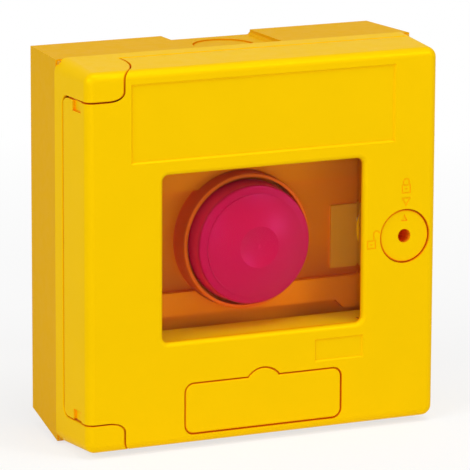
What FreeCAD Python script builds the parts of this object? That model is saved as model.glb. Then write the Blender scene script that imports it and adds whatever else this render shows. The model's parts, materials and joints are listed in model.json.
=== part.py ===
import FreeCAD, Part
import Sketcher
import math
import os
import re

# Emergency push button: a square wall box with a hinged, glazed front door in front of a palm button.
# Millimetres. Origin on the wall at the middle of the back. +X right, +Y into the wall, +Z up.
# "Stand-off" is the distance in front of the wall, so that Y = -stand-off.

SIZES = {
    # Housing outline
    "box_width": 125.0,
    "box_height": 125.0,
    "back_box_depth": 27.0,
    "skirt_depth": 5.3,
    "flare": 1.5,
    "corner_round": 3.2,
    "front_round": 2.8,
    # Door shell
    "door_depth": 17.2,
    "door_skin": 2.0,
    "door_wall": 2.2,
    "door_rear_round": 0.5,
    # Rim of the frame behind the door
    "door_gap": 0.5,
    "lip_thickness": 1.0,
    "lip_step": 0.9,
    "lip_round": 0.4,
    "lip_corner_round": 3.2,
    # Hinge
    "hinge_inset": 3.7,
    "hinge_setback": 13.0,
    "block_radius": 16.4,
    "block_height": 10.5,
    "block_gap": 0.5,
    "block_round": 2.8,
    "barrel_radius": 2.8,
    "barrel_length": 8.0,
    "pin_radius": 1.25,
    "pin_clearance": 0.05,
    "pin_grip": 6.5,
    "pin_reach": 7.0,
    "pin_end_gap": 0.5,
    "finger_depth": 5.7,
    "finger_height": 3.4,
    "finger_cut": 1.0,
    "finger_setback": 4.5,
    # Slots of all screw heads, as shares of the head's radius
    "screw_slot_reach": 0.6,
    "screw_slot_width": 0.25,
    # Window
    "window_width": 70.0,
    "window_height": 54.2,
    "window_rise": -0.25,
    "window_round": 2.1,
    "window_edge_round": 1.6,
    "shelf_thickness": 1.8,
    "shelf_drop": 0.25,
    "shelf_reach": 9.0,
    "pane_thickness": 1.2,
    "pane_side_overlap": 5.0,
    "pane_top_overlap": 4.15,
    "pane_foot_overlap": 2.25,
    "pane_gap": 0.1,
    "pane_lip_inset": 2.5,
    "pane_lip_depth": 4.8,
    "clip_bite": 2.0,
    "clip_length": 8.0,
    "clip_width": 7.0,
    "clip_thickness": 1.2,
    "clip_pitch": 27.0,
    "clip_boss_radius": 3.0,
    "clip_screw_radius": 1.2,
    "clip_screw_head_radius": 2.4,
    "clip_screw_head": 1.6,
    "clip_screw_length": 3.2,
    # Shallow fields in the door face
    "label_width": 92.1,
    "label_height": 25.55,
    "label_rise": 44.1,
    "label_depth": 0.5,
    "plaque_width": 17.3,
    "plaque_height": 7.6,
    "plaque_shift": 26.65,
    "plaque_drop": 35.0,
    "plaque_depth": 0.4,
    "field_slope": 50.0,
    # Removable plate under the window
    "plate_width": 54.6,
    "plate_height": 16.2,
    "plate_drop": 49.65,
    "plate_round": 2.8,
    "plate_edge_round": 0.5,
    "plate_thickness": 1.4,
    "plate_seat_gap": 0.1,
    "plate_groove": 0.5,
    "bump_radius": 6.7,
    "bump_height": 2.75,
    "seat_margin": 1.8,
    "seat_floor": 1.5,
    # Lock
    "lock_inset": 12.65,
    "lock_disc_radius": 8.55,
    "lock_disc_gap": 0.4,
    "lock_disc_setback": 0.5,
    "lock_disc_thickness": 1.4,
    "lock_disc_bevel": 0.3,
    "lock_recess_depth": 2.2,
    "lock_barrel_radius": 6.0,
    "lock_clearance": 0.05,
    "lock_length": 14.5,
    "lock_boss_wall": 2.0,
    "lock_collar_depth": 2.0,
    "lock_collar_wall": 0.55,
    "cam_gap": 0.4,
    "cam_thickness": 2.0,
    "cam_width": 8.0,
    "cam_reach": 7.75,
    "cam_root_radius": 5.0,
    "tail_radius": 3.0,
    "tail_flat": 2.5,
    "lock_clip_radius": 4.8,
    "lock_clip_thickness": 1.5,
    "lock_ring_groove": 0.75,
    "lock_ring_width": 1.5,
    "lock_ring_setback": 6.0,
    "lock_ring_bevel": 0.25,
    "key_hole_radius": 2.25,
    "key_hole_depth": 7.0,
    "key_mark_size": 2.2,
    "key_mark_rise": 6.0,
    "key_mark_depth": 0.25,
    "strike_gap": 0.3,
    "strike_thickness": 1.2,
    "strike_width": 12.0,
    "strike_end_gap": 2.0,
    "strike_slot_width": 9.0,
    "strike_slot_gap": 0.3,
    # Frame between door and back box
    "opening_margin": 4.7,
    "spigot_thickness": 1.4,
    "spigot_depth": 3.0,
    "ledge_width": 9.8,
    "ledge_thickness": 2.0,
    "gasket_inset": 0.9,
    "gasket_groove_width": 1.4,
    "gasket_groove_depth": 1.0,
    "gasket_play": 0.05,
    # Back box
    "rim_inset": 0.4,
    "back_side_taper": 2.3,
    "back_foot_taper": 4.3,
    "back_head_taper": 0.3,
    "back_wall": 2.5,
    "side_wall": 2.2,
    "post_radius": 4.5,
    "post_inset": 5.3,
    "pilot_depth": 14.0,
    "entry_depth": 1.53,
    "entry_backing_gap": 0.5,
    "entry_left": 14.3,
    "entry_right": 17.3,
    "entry_left_slope": 2.6,
    "entry_right_slope": 0.8,
    "knockout_radius": 10.0,
    "knockout_shift": 1.7,
    "knockout_standoff": 13.7,
    "knockout_depth": 0.8,
    "knockout_rim": 0.5,
    "wall_hole_radius": 2.5,
    "wall_hole_pitch_x": 80.0,
    "wall_hole_pitch_z": 80.0,
    "wall_hole_pad": 1.5,
    "wall_pad_radius": 5.0,
    # Inner cover
    "cover_setback": 22.0,
    "cover_thickness": 2.0,
    "cover_gap": 0.4,
    "cover_round": 1.6,
    "band_height": 3.0,
    "band_shell": 1.8,
    "top_band_rise": 16.9,
    "low_band_top": 16.2,
    "low_band_foot": 23.9,
    "band_step": 3.0,
    "band_step_shift": 34.4,
    "collar_relief": 0.3,
    "insert_inset": 5.4,
    "insert_width": 18.6,
    "insert_top": 7.2,
    "insert_height": 20.8,
    "insert_thickness": 1.0,
    "cover_screw_radius": 1.6,
    "cover_screw_hole": 1.8,
    "cover_screw_length": 14.0,
    "cover_screw_head_radius": 3.5,
    "cover_screw_head": 2.2,
    "cover_head_recess": 4.25,
    # Operator: collar, barrel, nut
    "collar_radius": 22.2,
    "collar_wall": 1.2,
    "collar_height": 8.5,
    "collar_edge_round": 0.5,
    "base_thickness": 1.4,
    "operator_radius": 11.0,
    "operator_bore": 8.0,
    "operator_length": 9.0,
    "operator_end": 1.4,
    "operator_hole_gap": 0.2,
    "seal_inner": 17.1,
    "seal_outer": 19.9,
    "seal_depth": 0.8,
    "seal_play": 0.1,
    "nut_gap": 0.05,
    "nut_flats": 13.5,
    "nut_thickness": 4.0,
    # Push head, stem, spring
    "head_radius": 20.0,
    "head_setback": 3.55,
    "head_rise": 3.3,
    "head_depth": 12.1,
    "head_step_radius": 16.8,
    "head_step": 0.3,
    "head_bevel_radius": 19.4,
    "head_bevel": 0.75,
    "head_edge_round": 0.9,
    "head_rear_bevel": 0.4,
    "head_shell": 2.2,
    "dimple_radius": 6.75,
    "dimple_depth": 0.75,
    "hub_radius": 7.2,
    "hub_reach": 2.3,
    "stem_radius": 4.0,
    "stem_clearance": 0.05,
    "stem_grip": 7.0,
    "travel": 4.5,
    "stem_clip_gap": 0.3,
    "stem_clip_thickness": 0.8,
    "stem_clip_radius": 6.5,
    "stem_clip_bite": 0.6,
    "spring_wire": 1.0,
    "spring_radius": 6.5,
    "spring_turns": 5.0,
    "spring_end_gap": 0.3,
    # Contacts
    "carrier_thickness": 1.8,
    "carrier_length": 20.0,
    "carrier_width": 12.0,
    "plunger_radius": 2.0,
    "plunger_pitch": 15.0,
    "plunger_gap": 0.15,
    "mount_plate": 1.8,
    "mount_side": 1.5,
    "mount_width": 34.0,
    "mount_hole_gap": 0.05,
    "block_setback": 38.6,
    "block_back_gap": 0.2,
    "block_wall": 0.8,
    "block_width": 14.4,
    "block_length": 32.0,
    "bridge_gap": 0.3,
    "bridge_thickness": 0.7,
    "bridge_length": 18.0,
    "bridge_width": 4.0,
    "contact_thickness": 0.6,
    "contact_inner": 6.0,
    "contact_width": 5.0,
    "open_contact_gap": 0.4,
    "terminal_pitch": 26.0,
    "terminal_head_radius": 2.6,
    "terminal_head": 1.8,
    "terminal_radius": 1.5,
    "terminal_length": 5.4,
}

# Depth of the whole box, wall to door face
BOX_DEPTH = "(back_box_depth + skirt_depth + door_gap + door_depth)"

# Places that several pieces share, as formulas of the sizes above
RIM_HALF_WIDTH = "(box_width / 2)"
RIM_HALF_HEIGHT = "(box_height / 2)"
FACE_HALF_WIDTH = "(box_width / 2 - flare)"
FACE_HALF_HEIGHT = "(box_height / 2 - flare)"
FACE_SLOPE = "(flare / (box_depth - back_box_depth))"
FACE_TAPER = "atan(flare / (box_depth - back_box_depth))"
LIP_STANDOFF = "(box_depth - door_depth - door_gap)"
FLOOR_STANDOFF = "(box_depth - door_depth - door_gap - lip_step)"
HINGE_X = "(hinge_inset - box_width / 2)"
HINGE_STANDOFF = "(box_depth - hinge_setback)"
BLOCK_Z = "(box_height / 2 - block_height)"
DOOR_END_Z = "(box_height / 2 - block_height - block_gap)"
WINDOW_LOW = "(window_rise - window_height / 2)"
WINDOW_HIGH = "(window_rise + window_height / 2)"
SHELF_Z = "(window_rise - window_height / 2 - shelf_drop)"
PANE_FRONT = "(box_depth - door_skin)"
PANE_BACK = "(box_depth - door_skin - pane_thickness)"
PANE_HALF = "(window_width / 2 + pane_side_overlap)"
PANE_FOOT = "(window_rise - window_height / 2 - pane_foot_overlap)"
PANE_TOP = "(window_rise + window_height / 2 + pane_top_overlap)"
CLIP_X = "(window_width / 2 + pane_side_overlap + clip_boss_radius)"
CLIP_Z = "(clip_pitch / 2)"
PLATE_TOP = "(plate_height / 2 - plate_drop)"
BUMP_Z = "(plate_height / 2 - plate_drop + bump_height - bump_radius)"
LOCK_X = "(box_width / 2 - lock_inset)"
LOCK_BORE = "(lock_barrel_radius + lock_clearance)"
OPENING_X = "(box_width / 2 - opening_margin)"
OPENING_Z = "(box_height / 2 - opening_margin)"
COVER_STANDOFF = "(box_depth - cover_setback)"
COVER_BACK = "(box_depth - cover_setback - cover_thickness)"
BAND_STANDOFF = "(box_depth - cover_setback + band_height)"
COVER_HALF_WIDTH = "(box_width / 2 - opening_margin - cover_gap)"
COVER_HALF_HEIGHT = "(box_height / 2 - opening_margin - cover_gap)"
LEDGE_BACK = "(box_depth - cover_setback - cover_thickness - ledge_thickness)"
POST_X = "(box_width / 2 - opening_margin - post_inset)"
POST_Z = "(box_height / 2 - opening_margin - post_inset)"
BARREL_END = "(box_depth - cover_setback - operator_length)"
HEAD_FRONT = "(box_depth - head_setback)"
HEAD_REAR = "(box_depth - head_setback - head_depth)"
HUB_REAR = "(box_depth - head_setback - head_depth - hub_reach)"
CARRIER_FRONT = "(box_depth - cover_setback - operator_length - stem_clip_gap - stem_clip_thickness)"
CARRIER_BACK = "(box_depth - cover_setback - operator_length - stem_clip_gap - stem_clip_thickness"\
               " - carrier_thickness)"
BLOCK_FRONT = "(box_depth - block_setback)"
BLOCK_BACK = "(back_wall + block_back_gap)"
BLOCK_INNER = "(box_depth - block_setback - block_wall)"
BRIDGE_FRONT = "(box_depth - block_setback - block_wall - contact_thickness - bridge_gap)"
PLUNGER_X = "(plunger_pitch / 2)"
TERMINAL_Z = "(terminal_pitch / 2)"
# How far cuts run on beyond the material, in long and in tight places
BEYOND = "5"
MARGIN = "1"
TOLERANCE = 1e-4

Vector = FreeCAD.Vector
doc = FreeCAD.newDocument("emergency_push_button")
dims = doc.addObject("Spreadsheet::Sheet", "dims")
for row, (name, value) in enumerate(SIZES.items(), start=1):
    dims.set(f"A{row}", name)
    dims.set(f"B{row}", str(value))
    dims.setAlias(f"B{row}", name)
sums = doc.addObject("Spreadsheet::Sheet", "sums")
doc.recompute()
nodes = []


# Formulas: every word that names a size points at its cell in the sheet.
def bound(formula):
    formula = re.sub(r"\bbox_depth\b", BOX_DEPTH, formula)
    return re.sub(r"[a-z_]+", lambda word: "dims." + word[0] if word[0] in SIZES else word[0], formula)


def number(formula):
    sums.set("A1", "=" + bound(formula))
    sums.recompute()
    return float(sums.get("A1"))


def new_body(label):
    body = doc.addObject("PartDesign::Body", label)
    body.Label = label
    nodes.append(body)
    return body


def own_plane(body, role):
    return next(item for item in body.Origin.OriginFeatures if item.Role == role)


# XZ_Plane sketches face the viewer: local x = X, y = Z, offset = stand-off.
# XY_Plane sketches: local x = X, y = Y, offset = Z. YZ_Plane sketches: local x = Y, y = Z, offset = X.
def new_sketch(body, offset="0", role="XZ_Plane"):
    sketch = body.newObject("Sketcher::SketchObject", body.Label + "_sketch")
    sketch.AttachmentSupport = [(own_plane(body, role), "")]
    sketch.MapMode = "FlatFace"
    sketch.setExpression("AttachmentOffset.Base.z", bound(offset))
    return sketch


def bind(sketch, kind, references, formula):
    index = sketch.addConstraint(Sketcher.Constraint(kind, *references, number(formula)))
    sketch.renameConstraint(index, f"size_{index}")
    sketch.setExpression(f"Constraints.size_{index}", bound(formula))


def place(sketch, geometry, point, x, y):
    bind(sketch, "DistanceX", (-1, 1, geometry, point), x)
    bind(sketch, "DistanceY", (-1, 1, geometry, point), y)


def circle(sketch, x, y, radius):
    start = Part.Circle(Vector(number(x), number(y), 0), Vector(0, 0, 1), number(radius))
    index = sketch.addGeometry(start)
    place(sketch, index, 3, x, y)
    bind(sketch, "Radius", (index,), radius)


# A closed outline of straight sides, counter-clockwise. A corner (x, y, radius) is rounded by a
# tangent arc, and its sharp point stays in the sketch as the place that the two sides aim at.
def outline(sketch, corners):
    points = [Vector(number(corner[0]), number(corner[1]), 0) for corner in corners]
    starts, ends, arcs = [], [], []
    for index, corner in enumerate(corners):
        point = points[index]
        arriving = (point - points[index - 1]).normalize()
        leaving = (points[(index + 1) % len(points)] - point).normalize()
        if len(corner) == 2:
            starts.append(point)
            ends.append(point)
            arcs.append(None)
            continue
        radius = number(corner[2])
        turn = arriving.getAngle(leaving)
        left = arriving.cross(leaving).z > 0
        reach = radius * math.tan(turn / 2)
        ends.append(point - arriving * reach)
        starts.append(point + leaving * reach)
        inward = (leaving - arriving).normalize()
        centre = point + inward * (radius / math.cos(turn / 2))
        first, last = (ends[-1], starts[-1]) if left else (starts[-1], ends[-1])
        angles = [math.atan2(spot.y - centre.y, spot.x - centre.x) for spot in (first, last)]
        arcs.append((Part.ArcOfCircle(Part.Circle(centre, Vector(0, 0, 1), radius), *angles), left))
    sides = []
    for index in range(len(points)):
        sides.append(sketch.addGeometry(Part.LineSegment(starts[index], ends[(index + 1) % len(points)])))
    for index, corner in enumerate(corners):
        before, after = sides[index - 1], sides[index]
        if arcs[index] is None:
            sketch.addConstraint(Sketcher.Constraint("Coincident", before, 2, after, 1))
            place(sketch, after, 1, corner[0], corner[1])
            continue
        arc, left = arcs[index]
        bend = sketch.addGeometry(arc)
        sharp = sketch.addGeometry(Part.Point(points[index]), True)
        place(sketch, sharp, 1, corner[0], corner[1])
        sketch.addConstraint(Sketcher.Constraint("PointOnObject", sharp, 1, before))
        sketch.addConstraint(Sketcher.Constraint("PointOnObject", sharp, 1, after))
        sketch.addConstraint(Sketcher.Constraint("Tangent", before, 2, bend, 1 if left else 2))
        sketch.addConstraint(Sketcher.Constraint("Tangent", bend, 2 if left else 1, after, 1))
        bind(sketch, "Radius", (bend,), corner[2])


def rectangle(sketch, left, right, low, high, radius=None):
    extra = () if radius is None else (radius,)
    corners = [(left, low), (right, low), (right, high), (left, high)]
    outline(sketch, [corner + extra for corner in corners])


def centred(sketch, half_width, half_height, radius=None):
    rectangle(sketch, f"-{half_width}", half_width, f"-{half_height}", half_height, radius)


# Runs after every step: the body has to grow, or to shrink, by that step.
def settle(body, step, before, grows):
    doc.recompute()
    change = body.Shape.Volume - before
    if "Invalid" in step.State or "Error" in step.State or (change > 0) != grows or abs(change) < TOLERANCE:
        raise RuntimeError(f"{body.Label}: {step.Name} changed the volume by {change:.4f}")
    return step


def volume(body):
    return 0.0 if body.Tip is None else body.Shape.Volume


# "along" is +1 along the sketch's normal and -1 against it (toward the wall for XZ_Plane).
def pad(body, sketch, length, along=-1, taper=None):
    before = volume(body)
    step = body.newObject("PartDesign::Pad", body.Label + "_pad")
    step.Profile = sketch
    step.Reversed = along < 0
    step.setExpression("Length", bound(length))
    if taper:
        step.setExpression("TaperAngle", bound(taper))
    return settle(body, step, before, True)


def pocket(body, sketch, length=None, along=-1, taper=None):
    before = volume(body)
    step = body.newObject("PartDesign::Pocket", body.Label + "_pocket")
    step.Profile = sketch
    step.Reversed = along > 0
    if length is None:
        step.Type = "ThroughAll"
        step.SideType = "Symmetric"
    else:
        step.setExpression("Length", bound(length))
    if taper:
        step.setExpression("TaperAngle", bound(taper))
    return settle(body, step, before, False)


def turn(body, sketch, axis=("H_Axis",), cut=False):
    before = volume(body)
    kind = "Groove" if cut else "Revolution"
    step = body.newObject("PartDesign::" + kind, body.Label + "_turned")
    step.Profile = sketch
    step.ReferenceAxis = (sketch, list(axis))
    step.Angle = 360
    return settle(body, step, before, not cut)


def mirror(body, steps, role, grows):
    before = volume(body)
    step = body.newObject("PartDesign::Mirrored", body.Label + "_mirrored")
    step.Originals = steps
    step.MirrorPlane = (own_plane(body, role), [""])
    body.Tip = step
    return settle(body, step, before, grows)


def fillet(body, chosen, radius, kind="Fillet"):
    before = volume(body)
    names = [f"Edge{i}" for i, edge in enumerate(body.Tip.Shape.Edges, start=1) if chosen(edge)]
    base = body.Tip
    step = body.newObject("PartDesign::" + kind, body.Label + "_edge")
    step.Base = (base, names)
    step.setExpression("Radius" if kind == "Fillet" else "Size", bound(radius))
    doc.recompute()
    if "Invalid" in step.State or "Error" in step.State or abs(body.Shape.Volume - before) < TOLERANCE:
        raise RuntimeError(f"{body.Label}: {len(names)} edges not rounded")
    return step


# The hinge axis as a construction line, for pieces turned about it
def hinge_axis(sketch):
    x, high = number(HINGE_X), number(RIM_HALF_HEIGHT)
    line = sketch.addGeometry(Part.LineSegment(Vector(x, 0, 0), Vector(x, high, 0)), True)
    place(sketch, line, 1, HINGE_X, "0")
    place(sketch, line, 2, HINGE_X, RIM_HALF_HEIGHT)
    return ("Axis0",)


# Edges that lie flat at one stand-off and reach at least so far from the middle
def flat_edges(standoff, reach=0.0, limit=1000.0):
    level = -number(standoff)

    def chosen(edge):
        box = edge.BoundBox
        far = max(abs(box.XMin), abs(box.XMax), abs(box.ZMin), abs(box.ZMax))
        flat = abs(box.YMin - level) < 1e-3 and abs(box.YMax - level) < 1e-3
        return flat and reach <= far <= limit
    return chosen


# A turned piece about an axis along Y: a list of (stand-off, radius) corners, sharp or rounded
def turned_piece(label, profile):
    body = new_body(label)
    sketch = new_sketch(body, "0", "YZ_Plane")
    outline(sketch, [(f"-({corner[0]})",) + tuple(corner[1:]) for corner in profile])
    turn(body, sketch)
    return body


def shift_body(body, x="0", y="0", z="0"):
    for axis, formula in zip("xyz", (x, y, z)):
        if formula != "0":
            body.setExpression(f".Placement.Base.{axis}", bound(formula))
    doc.recompute()


# Half-width or half-height of the tapered outside at a stand-off
def outside(half, standoff):
    return f"({half} - {FACE_SLOPE} * ({standoff} - back_box_depth))"


# Door
def build_door():
    body = new_body("door")
    # Tapered shell with rounded front and corner edges
    sketch = new_sketch(body, "box_depth")
    centred(sketch, FACE_HALF_WIDTH, FACE_HALF_HEIGHT, "corner_round")
    pad(body, sketch, "door_depth", taper=FACE_TAPER)
    fillet(body, flat_edges("box_depth"), "front_round")
    fillet(body, flat_edges("box_depth - door_depth"), "door_rear_round")
    sketch = new_sketch(body, PANE_FRONT)
    centred(sketch, f"({FACE_HALF_WIDTH} - door_wall)", f"({FACE_HALF_HEIGHT} - door_wall)")
    pocket(body, sketch, f"door_depth - door_skin + {BEYOND}", taper=FACE_TAPER)
    # Solid corners that become the walls round the hinge blocks
    sketch = new_sketch(body, PANE_FRONT)
    left = f"(door_wall / 2 - {FACE_HALF_WIDTH})"
    right = f"({HINGE_X} + block_radius + block_gap + door_wall)"
    low = f"({DOOR_END_Z} - door_wall)"
    high = f"({FACE_HALF_HEIGHT} - door_wall / 2)"
    rectangle(sketch, left, right, low, high)
    corner = pad(body, sketch, "door_depth - door_skin")
    mirror(body, [corner], "XY_Plane", True)
    # Hinge barrels
    sketch = new_sketch(body, f"{DOOR_END_Z} - barrel_length", "XY_Plane")
    circle(sketch, HINGE_X, f"-{HINGE_STANDOFF}", "barrel_radius")
    barrel = pad(body, sketch, "barrel_length", along=1)
    mirror(body, [barrel], "XY_Plane", True)
    # Clearance round the hinge blocks, turned about the hinge axis
    sketch = new_sketch(body, HINGE_STANDOFF)
    axis = hinge_axis(sketch)
    edge = f"({HINGE_X} + block_radius + block_gap)"
    top = f"({RIM_HALF_HEIGHT} + {BEYOND})"
    outline(sketch, [(HINGE_X, DOOR_END_Z), (edge, DOOR_END_Z, "block_round + block_gap"),
                     (edge, top), (HINGE_X, top)])
    notch = turn(body, sketch, axis, cut=True)
    mirror(body, [notch], "XY_Plane", False)
    # Bores for the hinge pins
    sketch = new_sketch(body, DOOR_END_Z, "XY_Plane")
    circle(sketch, HINGE_X, f"-{HINGE_STANDOFF}", "pin_radius + pin_clearance")
    bore = pocket(body, sketch, "pin_reach - block_gap + pin_end_gap")
    mirror(body, [bore], "XY_Plane", False)
    # Rounded rear corners of the left wall, beside the hinge blocks
    sketch = new_sketch(body, f"-{RIM_HALF_WIDTH} - {BEYOND}", "YZ_Plane")
    rear = f"-({LIP_STANDOFF} + door_gap)"
    reach = "(lip_corner_round + block_gap / 2)"
    start = Vector(number(rear), number(f"{DOOR_END_Z} - {reach}"), 0)
    corner_cut(sketch, rear, DOOR_END_Z, reach, start)
    rounding = pocket(body, sketch, f"{BEYOND} + flare + lip_thickness", along=1)
    mirror(body, [rounding], "XY_Plane", False)
    # Finger recesses in the left wall at both ends
    sketch = new_sketch(body, f"-{FACE_HALF_WIDTH} + finger_cut - flare / 2", "YZ_Plane")
    front = "-(box_depth - finger_setback)"
    rectangle(sketch, front, f"({front} + finger_depth)", f"({DOOR_END_Z} - finger_height)",
              f"({DOOR_END_Z} + {BEYOND})")
    recess = pocket(body, sketch, f"finger_cut + flare + {BEYOND}")
    mirror(body, [recess], "XY_Plane", False)
    add_window(body)
    add_face_fields(body)
    add_lock_seat(body)
    return body


# A square corner less its quarter disc: what a rounding of a corner takes away
def corner_cut(sketch, rear, end, radius, start):
    size = number(radius)
    corner = Vector(start.x, start.y + size, 0)
    finish = Vector(start.x + -size, corner.y, 0)
    centre = Vector(finish.x, start.y, 0)
    first = sketch.addGeometry(Part.LineSegment(start, corner))
    second = sketch.addGeometry(Part.LineSegment(corner, finish))
    quarter = Part.ArcOfCircle(Part.Circle(centre, Vector(0, 0, 1), size), 0, math.pi / 2)
    bend = sketch.addGeometry(quarter)
    sketch.addConstraint(Sketcher.Constraint("Coincident", first, 2, second, 1))
    sketch.addConstraint(Sketcher.Constraint("Tangent", first, 1, bend, 1))
    sketch.addConstraint(Sketcher.Constraint("Tangent", second, 2, bend, 2))
    sketch.addConstraint(Sketcher.Constraint("Vertical", first))
    place(sketch, first, 2, rear, end)
    bind(sketch, "Radius", (bend,), radius)


# Window, its shelf, the slot that holds the pane's foot and the bosses of the pane clips
def add_window(body):
    sketch = new_sketch(body, PANE_FRONT)
    rectangle(sketch, f"-{PANE_HALF}", PANE_HALF, f"({PANE_FOOT} - pane_gap - shelf_thickness)",
              SHELF_Z)
    pad(body, sketch, "pane_thickness + pane_gap + shelf_thickness")
    sketch = new_sketch(body, PANE_FRONT)
    shelf_half = "(window_width / 2 + shelf_reach)"
    rectangle(sketch, f"-{shelf_half}", shelf_half, f"({SHELF_Z} - shelf_thickness)", SHELF_Z)
    pad(body, sketch, "door_depth - door_skin")
    sketch = new_sketch(body, PANE_FRONT)
    rectangle(sketch, f"(-{shelf_half} - {BEYOND})", f"({shelf_half} + {BEYOND})",
              f"({PANE_FOOT} - pane_gap)", f"({SHELF_Z} + pane_gap)")
    pocket(body, sketch, "pane_thickness + pane_gap")
    sketch = new_sketch(body, "box_depth")
    half = "(window_width / 2)"
    rectangle(sketch, f"-{half}", half, WINDOW_LOW, WINDOW_HIGH, "window_round")
    pocket(body, sketch, "door_skin + pane_gap / 2")
    within = number(half) + TOLERANCE
    fillet(body, flat_edges("box_depth", 0.0, within), "window_edge_round")
    sketch = new_sketch(body, PANE_FRONT)
    for side in ("-", ""):
        for level in ("-", ""):
            circle(sketch, side + CLIP_X, level + CLIP_Z, "clip_boss_radius")
    pad(body, sketch, "pane_thickness")
    sketch = new_sketch(body, PANE_BACK)
    for side in ("-", ""):
        for level in ("-", ""):
            circle(sketch, side + CLIP_X, level + CLIP_Z, "clip_screw_radius")
    pocket(body, sketch, "clip_screw_length - clip_thickness", along=1)


# Label field, small plaque field and the seat of the removable plate
def add_face_fields(body):
    sketch = new_sketch(body, "box_depth")
    rectangle(sketch, "-label_width / 2", "label_width / 2", "label_rise - label_height / 2",
              "label_rise + label_height / 2")
    pocket(body, sketch, "label_depth", taper="-field_slope")
    sketch = new_sketch(body, "box_depth")
    rectangle(sketch, "plaque_shift - plaque_width / 2", "plaque_shift + plaque_width / 2",
              "-plaque_drop - plaque_height / 2", "plaque_height / 2 - plaque_drop")
    pocket(body, sketch, "plaque_depth", taper="-field_slope")
    sketch = new_sketch(body, PANE_FRONT)
    rectangle(sketch, "-plate_width / 2 - plate_groove - seat_margin",
              "plate_width / 2 + plate_groove + seat_margin",
              "-plate_drop - plate_height / 2 - plate_groove - seat_margin",
              f"{PLATE_TOP} + bump_height + plate_groove + seat_margin")
    pad(body, sketch, "plate_thickness + plate_seat_gap + seat_floor - door_skin")
    sketch = new_sketch(body, "box_depth")
    rectangle(sketch, "-plate_width / 2 - plate_groove", "plate_width / 2 + plate_groove",
              "-plate_drop - plate_height / 2 - plate_groove", f"{PLATE_TOP} + plate_groove",
              "plate_round + plate_groove")
    pocket(body, sketch, "plate_thickness + plate_seat_gap")
    sketch = new_sketch(body, "box_depth")
    circle(sketch, "0", BUMP_Z, "bump_radius + plate_groove")
    pocket(body, sketch, "plate_thickness + plate_seat_gap")


# Recess for the lock's front disc and the long boss that carries its barrel
def add_lock_seat(body):
    sketch = new_sketch(body, PANE_FRONT)
    circle(sketch, LOCK_X, "0", "lock_disc_radius + lock_disc_gap + lock_collar_wall")
    pad(body, sketch, "lock_collar_depth")
    sketch = new_sketch(body, PANE_FRONT)
    circle(sketch, LOCK_X, "0", f"{LOCK_BORE} + lock_boss_wall")
    pad(body, sketch, "lock_length - door_skin - cam_gap")
    sketch = new_sketch(body, "box_depth")
    circle(sketch, LOCK_X, "0", "lock_disc_radius + lock_disc_gap")
    pocket(body, sketch, "lock_recess_depth")
    sketch = new_sketch(body, "box_depth")
    circle(sketch, LOCK_X, "0", LOCK_BORE)
    pocket(body, sketch, "lock_length")


# Pieces carried by the door
def build_window_pane():
    body = new_body("window_pane")
    sketch = new_sketch(body, PANE_FRONT)
    rectangle(sketch, f"-{PANE_HALF}", PANE_HALF, PANE_FOOT, PANE_TOP)
    pad(body, sketch, "pane_thickness")
    outer = f"({PANE_HALF} - pane_lip_inset)"
    inner = f"({PANE_HALF} - pane_lip_inset - pane_thickness)"
    high = f"({PANE_TOP} - pane_lip_inset + pane_thickness)"
    under = f"({PANE_TOP} - pane_lip_inset)"
    foot = f"({SHELF_Z} + pane_gap)"
    sketch = new_sketch(body, PANE_BACK)
    outline(sketch, [(f"-{outer}", foot), (f"-{inner}", foot), (f"-{inner}", under), (inner, under),
                     (inner, foot), (outer, foot), (outer, high), (f"-{outer}", high)])
    pad(body, sketch, "pane_lip_depth")


def build_pane_clips():
    body = new_body("pane_clips")
    sketch = new_sketch(body, PANE_BACK)
    near = f"({PANE_HALF} - clip_bite)"
    far = f"({PANE_HALF} - clip_bite + clip_length)"
    for level in (f"-{CLIP_Z}", CLIP_Z):
        low, high = f"({level} - clip_width / 2)", f"({level} + clip_width / 2)"
        rectangle(sketch, f"-{far}", f"-{near}", low, high)
        rectangle(sketch, near, far, low, high)
        circle(sketch, f"-{CLIP_X}", level, "clip_screw_radius")
        circle(sketch, CLIP_X, level, "clip_screw_radius")
    pad(body, sketch, "clip_thickness")


def four_screws(label, spots, seat, head_radius, head, radius, length, toward_viewer):
    body = new_body(label)
    slot_half = f"({head_radius} * screw_slot_reach)"
    slot_side = f"({head_radius} * screw_slot_width / 2)"
    grow = 1 if toward_viewer else -1
    sketch = new_sketch(body, seat)
    for x, z in spots:
        circle(sketch, x, z, head_radius)
    pad(body, sketch, head, along=-grow)
    edge = f"({seat} {'-' if toward_viewer else '+'} {head})"
    sketch = new_sketch(body, seat)
    for x, z in spots:
        circle(sketch, x, z, radius)
    pad(body, sketch, length, along=grow)
    # Slots in the heads
    sketch = new_sketch(body, edge)
    for x, z in spots:
        rectangle(sketch, f"({x} - {slot_half})", f"({x} + {slot_half})",
                  f"({z} - {slot_side})", f"({z} + {slot_side})")
    pocket(body, sketch, f"{head} / 2", along=grow)
    return body


def build_pane_clip_screws():
    spots = [(side + CLIP_X, level + CLIP_Z) for side in ("-", "") for level in ("-", "")]
    four_screws("pane_clip_screws", spots, f"({PANE_BACK} - clip_thickness)", "clip_screw_head_radius",
                "clip_screw_head", "clip_screw_radius", "clip_screw_length", True)


def build_lower_plate():
    body = new_body("lower_plate")
    front = "box_depth"
    sketch = new_sketch(body, front)
    rectangle(sketch, "-plate_width / 2", "plate_width / 2", "-plate_drop - plate_height / 2", PLATE_TOP,
              "plate_round")
    pad(body, sketch, "plate_thickness")
    sketch = new_sketch(body, front)
    circle(sketch, "0", BUMP_Z, "bump_radius")
    pad(body, sketch, "plate_thickness")
    fillet(body, flat_edges(front), "plate_edge_round")


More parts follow.
